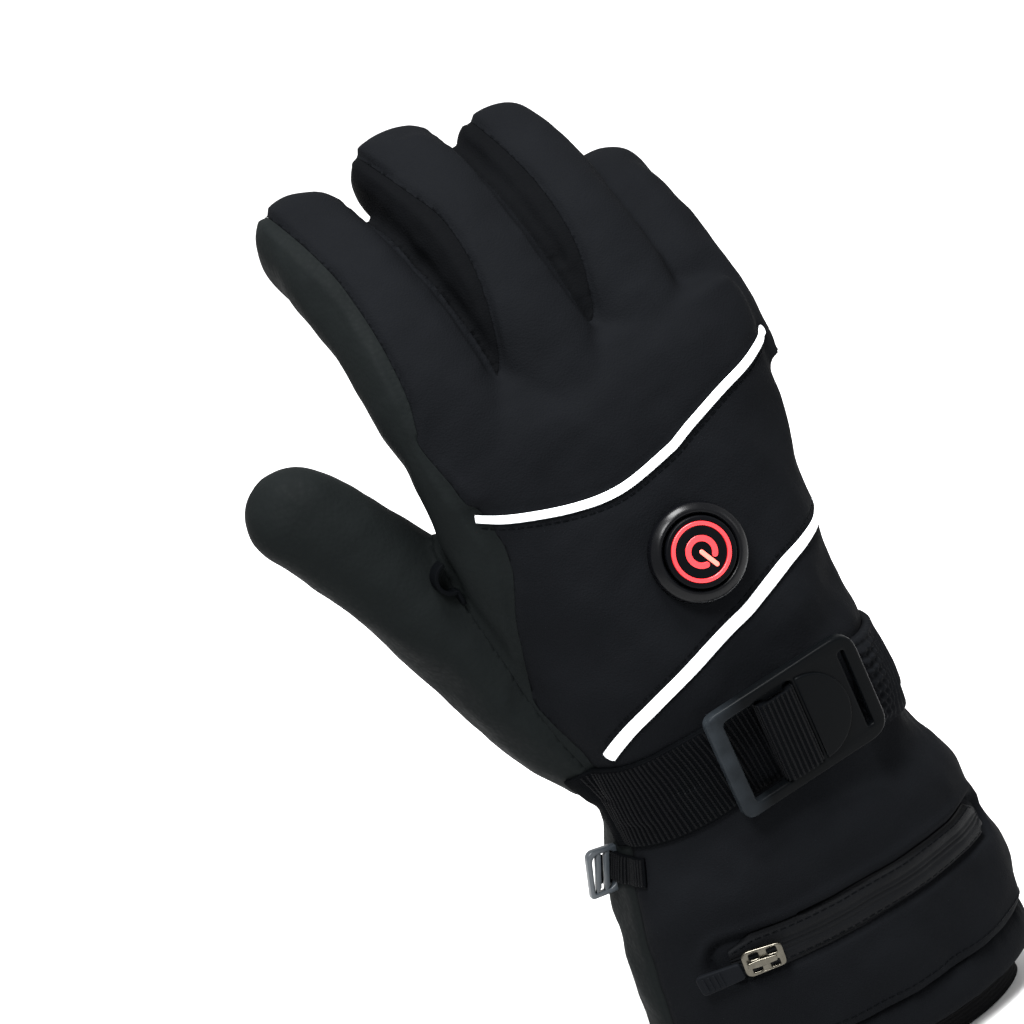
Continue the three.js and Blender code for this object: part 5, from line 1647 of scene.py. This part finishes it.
class GLOVE_OT_strap(bpy.types.Operator):
    """Wrist webbing with its ribs, the slide buckle, the webbing's turn over it and the elastic casing"""

    bl_idname = "glove.strap"
    bl_label = "Wrist Strap and Buckle"

    def execute(self, context):
        trim = context.scene.glove_trim
        self.webbing(trim)
        self.buckle()
        self.turn(trim)
        self.casing()
        return {"FINISHED"}

    def webbing(self, trim):
        width = trim.strap_width / MM
        thick = trim.strap_thickness / MM
        steps, across = STRAP_GRID
        folded = lambda u, v: 0.15 + 0.25 * bell(u / 0.03)
        height = lambda u, v: thick * (1 - 0.5 * np.abs(2 * v) ** 8) * (1 - 0.35 * bell((u - 0.06) / 0.012))
        lower, upper = laid(STRAP_PATH, steps, across, lambda u: width, height, folded, even=5)
        obj = flat_mapped("wrist_webbing", lower, upper, STRAP_UV)
        dress(obj, "webbing", ["wrist_strap"])
        length = np.linalg.norm(np.diff(upper[:, across // 2], axis=0), axis=1)
        place = np.concatenate([[0], np.cumsum(length)])
        rows = np.interp(np.arange(4.0, place[-1] - 1, trim.rib_pitch / MM), place, np.arange(steps))
        jitter = np.random.default_rng(51).normal(0, 0.12, len(rows))
        lines = []
        for row in rows + jitter:
            low = int(np.clip(row, 0, steps - 2))
            blend = np.clip(row - low, 0, 1)
            lines.append((upper[low] * (1 - blend) + upper[low + 1] * blend)[1:-1])
        riding(ribbed("wrist_webbing_ribs", lines, trim))

    def buckle(self):
        seat = buckle_seat()
        outlines = [
            rounded_rectangle(-BUCKLE_HALF, BUCKLE_HALF, BUCKLE_SIDE, 3.6, 6.5),
            rounded_rectangle(-BUCKLE_HALF + BUCKLE_BAR, WRAP_BAR[0], WINDOW_HALF, 1.6),
            rounded_rectangle(WRAP_BAR[1], WRAP_BAR[1] + WRAP_ROOM, WINDOW_HALF, 0.8),
            rounded_rectangle(*BACK_SLOT, WINDOW_HALF - 1, 0.8),
        ]
        frame = plate("buckle_frame", outlines, 0, BUCKLE_THICKNESS, 0.85)
        start = WRAP_BAR[1] + WRAP_ROOM + 1
        half_disc = arc(1, -90, 90, 40) * [BACK_SLOT[0] - start - 2, WINDOW_HALF] + [start, 0]
        tab = plate("buckle_tab", [half_disc], BUCKLE_THICKNESS / 2, BUCKLE_THICKNESS + TAB_RISE, 0.6)
        obj = seated(merged("slide_buckle", [frame, tab]), seat)
        dress(obj, "buckle_plastic", ["strap_buckle"])

    def turn(self, trim):
        seat = buckle_seat()
        half = trim.strap_width / MM / 2 - 0.3
        thick = trim.strap_thickness / MM
        low, high = WRAP_BAR[0] - 0.3, WRAP_BAR[1] + 0.3
        top = BUCKLE_THICKNESS + 0.3
        outline = rounded([
            (low - thick, 0.3, 0), (low, 0.3, 0), (low, top, 0.5), (high, top, 0.5), (high, 0.3, 0),
            (high + thick, 0.3, 0), (high + thick, top + thick, 2.2), (low - thick, top + thick, 2.2),
        ])
        y = np.linspace(-half, half, 30)
        rings = np.array([[(x, side, z) for x, z in outline] for side in y])
        obj = turned_outwards(new_object("webbing_turn", *loft(placed(rings, seat))))
        dress(obj, "webbing", ["strap_turn"])
        outer = rounded([
            (high + thick, 0.3, 0), (high + thick, top + thick, 2.2), (low - thick, top + thick, 2.2),
            (low - thick, 0.3, 0),
        ])
        reach = np.concatenate([[0], np.cumsum(np.linalg.norm(np.diff(outer, axis=0), axis=1))])
        lines = []
        for place in np.arange(1.2, reach[-1] - 0.8, 1.45):
            x, z = (np.interp(place, reach, outer[:, k]) for k in (0, 1))
            lines.append(placed(np.stack([x + 0 * y, y, z + 0 * y], -1), seat))
        riding(ribbed("webbing_turn_ribs", lines, trim))

    def casing(self):
        steps, across = CASING_GRID
        rise = lambda u: 3.6 + 3.5 * bell(u / 0.16)
        wave = lambda turn: 0.5 + 0.5 * np.cos(turn)
        folds = lambda u, v: wave(u * CASING_FOLDS * FULL_TURN + 0.8 * np.sin(9 * v))
        gathers = lambda u, v: folds(u, v) * (1 - np.abs(2 * v) ** 6)
        puffs = lambda u, v: wave(8.5 * v * FULL_TURN) * bell(u / 0.14)
        height = lambda u, v: rise(u) * (1 - 1.5 * v**2) - 0.6 * gathers(u, v) - 1.3 * puffs(u, v)
        lower, upper = laid(CASING_PATH, steps, across, lambda u: CASING_WIDTH, height, even=5)
        obj = turned_outwards(new_object("elastic_band", *slab(lower, upper)))
        dress(obj, "softshell", ["elastic_casing"])


# The button
CAP_TOP = 5.4
LIGHT_TOP = 5.5
SIGN = {"turn": 28, "opening": 60, "reach": 5.2, "radius": 4.4, "width": 1.6}


class GLOVE_OT_button(bpy.types.Operator):
    """Bezel, press cap, lit ring and lit power sign"""

    bl_idname = "glove.button"
    bl_label = "Heat Button"

    def execute(self, context):
        seat = seat_at(BUTTON["angle"], BUTTON["z"], 0, BUTTON["lean_across"], BUTTON["lean_along"])
        bezel = lathe("bezel", [
            (0, -4, 0), (BUTTON_RADIUS, -4, 0), (BUTTON_RADIUS, 2.7, 1.2), (11.4, 4.4, 1.5), (10.6, 4.4, 0.4),
            (10.1, 3.9, 0.3), (10.1, 1.4, 0), (0, 1.4, 0),
        ])
        dress(seated(bezel, seat), "bezel_plastic", ["button_bezel"])
        cap = lathe("press_cap", [
            (0, 2.5, 0), (9.6, 2.5, 0), (9.6, CAP_TOP, 0.7), (8.3, CAP_TOP, 0.12), (8.3, 4.6, 0),
            (6.8, 4.6, 0), (6.8, CAP_TOP, 0.12), (0, CAP_TOP - 0.15, 0),
        ])
        dress(seated(cap, seat), "cap_plastic", ["button_cap"], BUTTON_BODY)
        ring = lathe("light_ring", [
            (7.0, 4.6, 0), (8.1, 4.6, 0), (8.1, LIGHT_TOP, 0.3), (7.0, LIGHT_TOP, 0.3),
        ])
        dress(seated(ring, seat), "red_light", ["button_light_ring"], BUTTON_BODY)
        half = SIGN["width"] / 2
        middle = SIGN["radius"] - half
        start = -90 + SIGN["turn"] + SIGN["opening"] / 2
        end = 270 + SIGN["turn"] - SIGN["opening"] / 2
        last = arc(middle, end, end, 1) + arc(half, end, end + 180, 12)
        first = arc(middle, start, start, 1) + arc(half, start + 180, start + 360, 12)
        outer, inner = arc(middle + half, start, end, 70), arc(middle - half, end, start, 70)
        sweep = np.vstack([outer, last, inner, first])
        sign = plate("sign_arc", [sweep], CAP_TOP - 0.5, LIGHT_TOP, 0.2)
        dress(seated(sign, seat), "red_light", ["button_sign_arc"], BUTTON_BODY)
        down = -90 + SIGN["turn"]
        narrow = 0.62
        tip = arc(SIGN["reach"], down, down, 1) + arc(narrow, down - 90, down + 90, 12)
        capsule = np.vstack([tip, arc(narrow, down + 90, down + 270, 12)])
        bar = plate("sign_bar", [capsule], CAP_TOP - 0.5, LIGHT_TOP + 0.02, 0.2)
        dress(seated(bar, seat), "sign_light", ["button_sign_bar"], BUTTON_BODY)
        return {"FINISHED"}


# The zip pocket
SLIDER_ANGLE = -32.0
SLIDER_Z = ZIP_Z - 1
SLIDER_LIFT = 1.2 + 0.9
ZIP_UV = (110.0, ZIP_WIDTH)
ZIP_GRID = (260, 36)
# Halves of two outlines: x, y and the cut at the corner
SLIDER_OUTLINE = [(-5.75, -2.6, 1), (-4.4, -3.75, 1), (5.2, -3.3, 1.2), (5.75, -2.2, 1)]
CROWN_OUTLINE = [(-4.6, -0.8, 0.5), (-1.5, -1.1, 1), (3.6, -0.8, 0.5)]
# The pull: its hinge on the slider, its turn in the plane and its dip, and the places of its ribs
PULL_HINGE = (-5.75 - 0.3, -1.125, 0)
PULL_TURN = 8 * RADIANS
PULL_DIP = -14 * RADIANS
PULL_RIBS = (-11, -9.4, -7.8, -6.2)


class GLOVE_OT_zip(bpy.types.Operator):
    """Coated zip tape, its slider and its pull"""

    bl_idname = "glove.zip"
    bl_label = "Zip Pocket"

    def execute(self, context):
        trim = context.scene.glove_trim
        steps, across = ZIP_GRID
        taper = lambda u: ZIP_WIDTH * np.minimum(np.minimum(1, 0.55 + u * 5), 0.6 + (1 - u) * 12)
        teeth = lambda u, v: 0.5 * bell(v / 0.035) + 0.35 * bell((np.abs(v) - 0.12) / 0.05)
        height = lambda u, v: 1.05 - teeth(u, v) - 0.7 * np.abs(2 * v) ** 10
        lower, upper = laid(ZIP_PATH, steps, across, taper, height, even=4)
        tape = flat_mapped("coated_tape", lower, upper, ZIP_UV)
        dress(tape, "zip_tape", ["zip_tape"])
        edges = [upper[6:-6, column] + 0.02 for column in (5, across - 6)]
        riding(stitched("zip_stitches", edges, trim))
        seat = seat_at(SLIDER_ANGLE, SLIDER_Z, SLIDER_LIFT)
        self.slider(seat)
        self.pull(seat)
        return {"FINISHED"}

    def slider(self, seat):
        places = [(x, side) for side in (-1, 1) for x in (-3.6, 1.4)]
        windows = [rounded_rectangle(x, x + 2.6, 0.85, 0.5) + [0, side * 1.8] for x, side in places]
        base = plate("slider_body", [mirrored(SLIDER_OUTLINE), *windows], 0, 1.5, 0.4)
        feet = [rounded_rectangle(x - 0.5, x + 0.5, 0.8, 0.3) for x in (-4.0, 3.1)]
        posts = [plate("slider_post", [foot], 1.2, 2.5, 0.15) for foot in feet]
        crown = plate("slider_crown", [mirrored(CROWN_OUTLINE)], 2.2, 3.0, 0.3)
        obj = merged("zip_slider_body", [base, *posts, crown])
        dress(seated(obj, seat), "nickel", ["zip_slider"])

    def pull(self, seat):
        turn = Matrix.Translation(PULL_HINGE) @ Matrix.Rotation(PULL_TURN, 4, "Z")
        turn = turn @ Matrix.Rotation(PULL_DIP, 4, "Y")
        outline = rounded([(-13, -3, 1.6), (0, -2.4, 1.2), (0, 2.4, 1.2), (-13, 3, 1.6)])
        blade = plate("pull_blade", [outline], 0, 1.6, 0.5)
        bars = [rounded_rectangle(x - 0.4, x + 0.4, 2.1, 0.3) for x in PULL_RIBS]
        grip = [plate("pull_grip", [bar], 1.3, 1.9, 0.2) for bar in bars]
        obj = merged("zip_pull_tab", [blade, *grip])
        dress(seated(obj, seat @ np.array(turn)), "pull_rubber", ["zip_pull"])


# The side clip and the loop at the thumb
CLIP_ANGLE = -92.0
CLIP_Z = WRIST_Z - 19.4
CLIP_SIZE = (15.0, 9.5, 2.4)
TAB_PATH = [(-66, CLIP_Z - 2), (-78, CLIP_Z - 2), (CLIP_ANGLE - 2, CLIP_Z - 2)]
TAB_WIDTH = 8.0
TAB_UV = (24.0, TAB_WIDTH)
TAB_GRID = (60, 20)
CLIP_SINK = 4.0
# The clip's frame: corners and opening in shares of its half size, and the cuts at its corners
CLIP_LEAF = [(0.75, 1), (-1.1, 0.77), (-0.75, -1), (1.1, -0.7)]
CLIP_OPENING = [0.7, 0.8]
CLIP_CUTS = (1, 2.4, 1, 2.4)
LOOP = {"angle": -93, "z": hand_place(0.655), "half": 4.25, "reach": 4.0, "width": 4.5}


class GLOVE_OT_clip(bpy.types.Operator):
    """Side clip on its webbing tab, and the small loop where the thumb leaves the palm"""

    bl_idname = "glove.clip"
    bl_label = "Side Clip and Loop"

    def seat(self):
        point, around, _, normal = skin_frame(CLIP_ANGLE * RADIANS, CLIP_Z)
        face = unit(around)
        matrix = np.eye(4)
        matrix[:3, 0], matrix[:3, 1], matrix[:3, 2] = -normal, np.cross(face, -normal), face
        matrix[:3, 3] = point + normal * (CLIP_SIZE[1] / 2 + 0.3) - [0, 0, CLIP_SINK]
        return matrix

    def execute(self, context):
        seat = self.seat()
        length, width, thick = CLIP_SIZE
        half = width / 2
        corners = np.array(CLIP_LEAF) * [half, length / 2]
        rims = [
            rounded([(*corner, cut) for corner, cut in zip(corners * share, CLIP_CUTS)])
            for share in ([1, 1], CLIP_OPENING)
        ]
        frame = plate("clip_frame", rims, -thick / 2, thick / 2, 0.4)
        outlines = [corners * [0.17, 0.84] + [side, 0] for side in (0.95, -1.5)]
        bars = [plate("clip_bar", [outline], -0.7, 0.9, 0.3) for outline in outlines]
        clip = merged("side_clip_frame", [frame, *bars])
        dress(seated(clip, seat), "clip_plastic", ["side_clip"])
        self.tab(context.scene.glove_trim, seat)
        self.loop()
        return {"FINISHED"}

    def tab(self, trim, seat):
        steps, across = TAB_GRID
        height = lambda u, v: 1.2 * (1 - 0.4 * np.abs(2 * v) ** 8)
        lower, upper = laid(TAB_PATH, steps, across, lambda u: TAB_WIDTH, height, even=3)
        skin_part = flat_mapped("tab_on_cuff", lower, upper, TAB_UV)
        near = -CLIP_SIZE[2] / 2 - 0.3
        reach = CLIP_SIZE[1] / 2 + 0.9
        outline = rounded_rectangle(-0.4, reach, TAB_WIDTH / 2, 1.0)
        over = plate("tab_behind_clip", [outline], near - 1.2, near, 0.35)
        obj = merged("clip_webbing", [skin_part, seated(over, seat)])
        dress(obj, "webbing", ["clip_tab"])
        lines = [upper[row, 1:-1] for row in range(3, steps - 2, 4)]
        riding(ribbed("clip_webbing_ribs", lines, trim))

    def loop(self):
        seat = seat_at(LOOP["angle"], LOOP["z"], 0.3)
        arch = np.linspace(0, math.pi, 40)
        centre = np.stack([0 * arch, LOOP["half"] * np.cos(arch), 0.6 + LOOP["reach"] * np.sin(arch)], -1)
        tail = np.array([(0, -LOOP["half"] - share * 4, 0.6) for share in (0.35, 0.7, 1.0)])
        centre = np.vstack([centre, tail])
        slope = unit(np.gradient(centre, axis=0))
        out = np.cross(slope, [1.0, 0, 0])
        section = rounded([(-1, -0.6, 0.3), (1, -0.6, 0.3), (1, 0.6, 0.3), (-1, 0.6, 0.3)], 4)
        rings = centre[:, None] + out[:, None] * section[None, :, 1:2]
        rings[..., 0] += section[None, :, 0] * LOOP["width"] / 2
        obj = turned_outwards(new_object("thumb_loop", *loft(placed(rings, seat))))
        dress(obj, "webbing", ["palm_loop"])


HEM_STITCH_POINTS = 260
HEM_STITCH_RISE = 3.2
PIPING_STITCH_POINTS = 160
PIPING_STITCH_SPAN = (0.02, 0.96)
PIPING_STITCH_OFFSET = -3.0


class GLOVE_OT_stitches(bpy.types.Operator):
    """Rows of stitches at the hem and beside the pipings"""

    bl_idname = "glove.stitches"
    bl_label = "Stitches"

    def execute(self, context):
        trim = context.scene.glove_trim
        turn = np.linspace(0, FULL_TURN, HEM_STITCH_POINTS)
        point, normal, lift = on_cloth(turn, np.full(HEM_STITCH_POINTS, HEM_TOP + HEM_STITCH_RISE))
        lines = [point + normal * (lift + 0.05)[:, None]]
        for path in PIPINGS:
            u = np.linspace(*PIPING_STITCH_SPAN, PIPING_STITCH_POINTS)
            point, normal, lift = on_cloth(*ribbon(path, u, PIPING_STITCH_OFFSET))
            lines.append(point + normal * (evened(lift, 0, 3) + 0.02)[:, None])
        riding(stitched("seam_stitches", lines, trim))
        return {"FINISHED"}


FLOOR_HALF = 6000
FLOOR_Z = -0.6
# Azimuth, elevation and roll in degrees; lengths in millimetres
CAMERA_ANGLES = (-20, 22, 20)
CAMERA_HEIGHT = 96
CAMERA_DISTANCE = 1500
CAMERA_LENS = 195.1
AIM_RIGHT = -39.8
AIM_UP = 78.7
# Name, place and size in metres, and watts
LAMPS = [
    ("key", (-0.55, -0.75, 1.5), (0.45, 0.45), 52),
    ("top", (0.05, -0.2, 1.6), (0.5, 0.5), 66),
    ("side", (1.5, -0.7, 0.6), (0.4, 0.8), 5),
]


class GLOVE_OT_studio(bpy.types.Operator):
    """Camera at the photograph's angle, soft lights and a plain pale floor"""

    bl_idname = "glove.studio"
    bl_label = "Studio"

    def execute(self, context):
        self.camera(context)
        self.lights(context)
        self.floor()
        return {"FINISHED"}

    def camera(self, context):
        azimuth, elevation, roll = (angle * RADIANS for angle in CAMERA_ANGLES)
        level = math.cos(elevation)
        back = Vector((math.sin(azimuth) * level, -math.cos(azimuth) * level, math.sin(elevation)))
        right = Vector((math.cos(azimuth), math.sin(azimuth), 0))
        up = back.cross(right)
        middle = Vector((0, 0, CAMERA_HEIGHT))
        aim = middle + AIM_RIGHT * right + AIM_UP * up
        place = middle + CAMERA_DISTANCE * back
        data = bpy.data.cameras.new("camera")
        data.sensor_width = 36
        data.lens = CAMERA_LENS
        data.clip_start, data.clip_end = 0.05, 50
        obj = bpy.data.objects.new("camera", data)
        context.scene.collection.objects.link(obj)
        axis_z = (place - aim).normalized()
        lean = right * math.cos(roll) - up * math.sin(roll)
        axis_y = axis_z.cross(lean).normalized()
        axis_x = axis_y.cross(axis_z)
        turn = Matrix((axis_x, axis_y, axis_z)).transposed().to_4x4()
        obj.matrix_world = Matrix.Translation(place * MM) @ turn
        context.scene.camera = obj

    def light(self, context, name, place, size, power, color=(1, 1, 1)):
        data = bpy.data.lights.new(name, "AREA")
        data.shape = "RECTANGLE"
        data.size, data.size_y = size
        data.energy = power
        data.color = color
        obj = bpy.data.objects.new(name, data)
        obj.location = place
        obj.rotation_euler = (Vector((0, 0, 0.14)) - obj.location).to_track_quat("-Z", "Y").to_euler()
        context.scene.collection.objects.link(obj)

    def lights(self, context):
        world = bpy.data.worlds.new("studio")
        world.use_nodes = True
        world.node_tree.nodes["Background"].inputs["Color"].default_value = (1, 1, 1, 1)
        world.node_tree.nodes["Background"].inputs["Strength"].default_value = 1.0
        context.scene.world = world
        context.scene.view_settings.view_transform = "Standard"
        for row in LAMPS:
            self.light(context, *row)

    def floor(self):
        corners = [(-1, -1), (1, -1), (1, 1), (-1, 1)]
        points = np.array([(x * FLOOR_HALF, y * FLOOR_HALF, FLOOR_Z) for x, y in corners], float)
        obj = new_object("floor", points, [[0, 1, 2, 3]])
        pale = bpy.data.materials.new("floor")
        pale.use_nodes = True
        pale.node_tree.nodes["Principled BSDF"].inputs["Base Color"].default_value = (0.62, 0.62, 0.62, 1)
        obj.data.materials.append(pale)


class GLOVE_PT_dressing(bpy.types.Panel):
    """Sidebar panel that lists the glove's pieces"""

    bl_label = "Heated Glove"
    bl_idname = "GLOVE_PT_dressing"
    bl_space_type = "VIEW_3D"
    bl_region_type = "UI"
    bl_category = "Glove"

    def draw(self, context):
        for operator in OPERATORS:
            self.layout.operator(operator.bl_idname)


PROPERTY_GROUPS = (GloveCloth, GloveTrim, GloveColors)
OPERATORS = (
    GLOVE_OT_studio, GLOVE_OT_hand, GLOVE_OT_gauntlet, GLOVE_OT_piping, GLOVE_OT_strap, GLOVE_OT_button,
    GLOVE_OT_zip, GLOVE_OT_clip, GLOVE_OT_stitches,
)


def register():
    for some_class in (*PROPERTY_GROUPS, *OPERATORS, GLOVE_PT_dressing):
        bpy.utils.register_class(some_class)
    bpy.types.Scene.glove_cloth = bpy.props.PointerProperty(type=GloveCloth)
    bpy.types.Scene.glove_trim = bpy.props.PointerProperty(type=GloveTrim)
    bpy.types.Scene.glove_colors = bpy.props.PointerProperty(type=GloveColors)


def unregister():
    del bpy.types.Scene.glove_cloth
    del bpy.types.Scene.glove_trim
    del bpy.types.Scene.glove_colors
    for some_class in reversed((*PROPERTY_GROUPS, *OPERATORS, GLOVE_PT_dressing)):
        bpy.utils.unregister_class(some_class)


def main():
    register()
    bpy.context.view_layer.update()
    bpy.ops.glove.studio()
    bpy.ops.glove.hand()
    bpy.ops.glove.gauntlet()
    bpy.ops.glove.piping()
    bpy.ops.glove.strap()
    bpy.ops.glove.button()
    bpy.ops.glove.zip()
    bpy.ops.glove.clip()
    bpy.ops.glove.stitches()


if __name__ == "__main__":
    main()
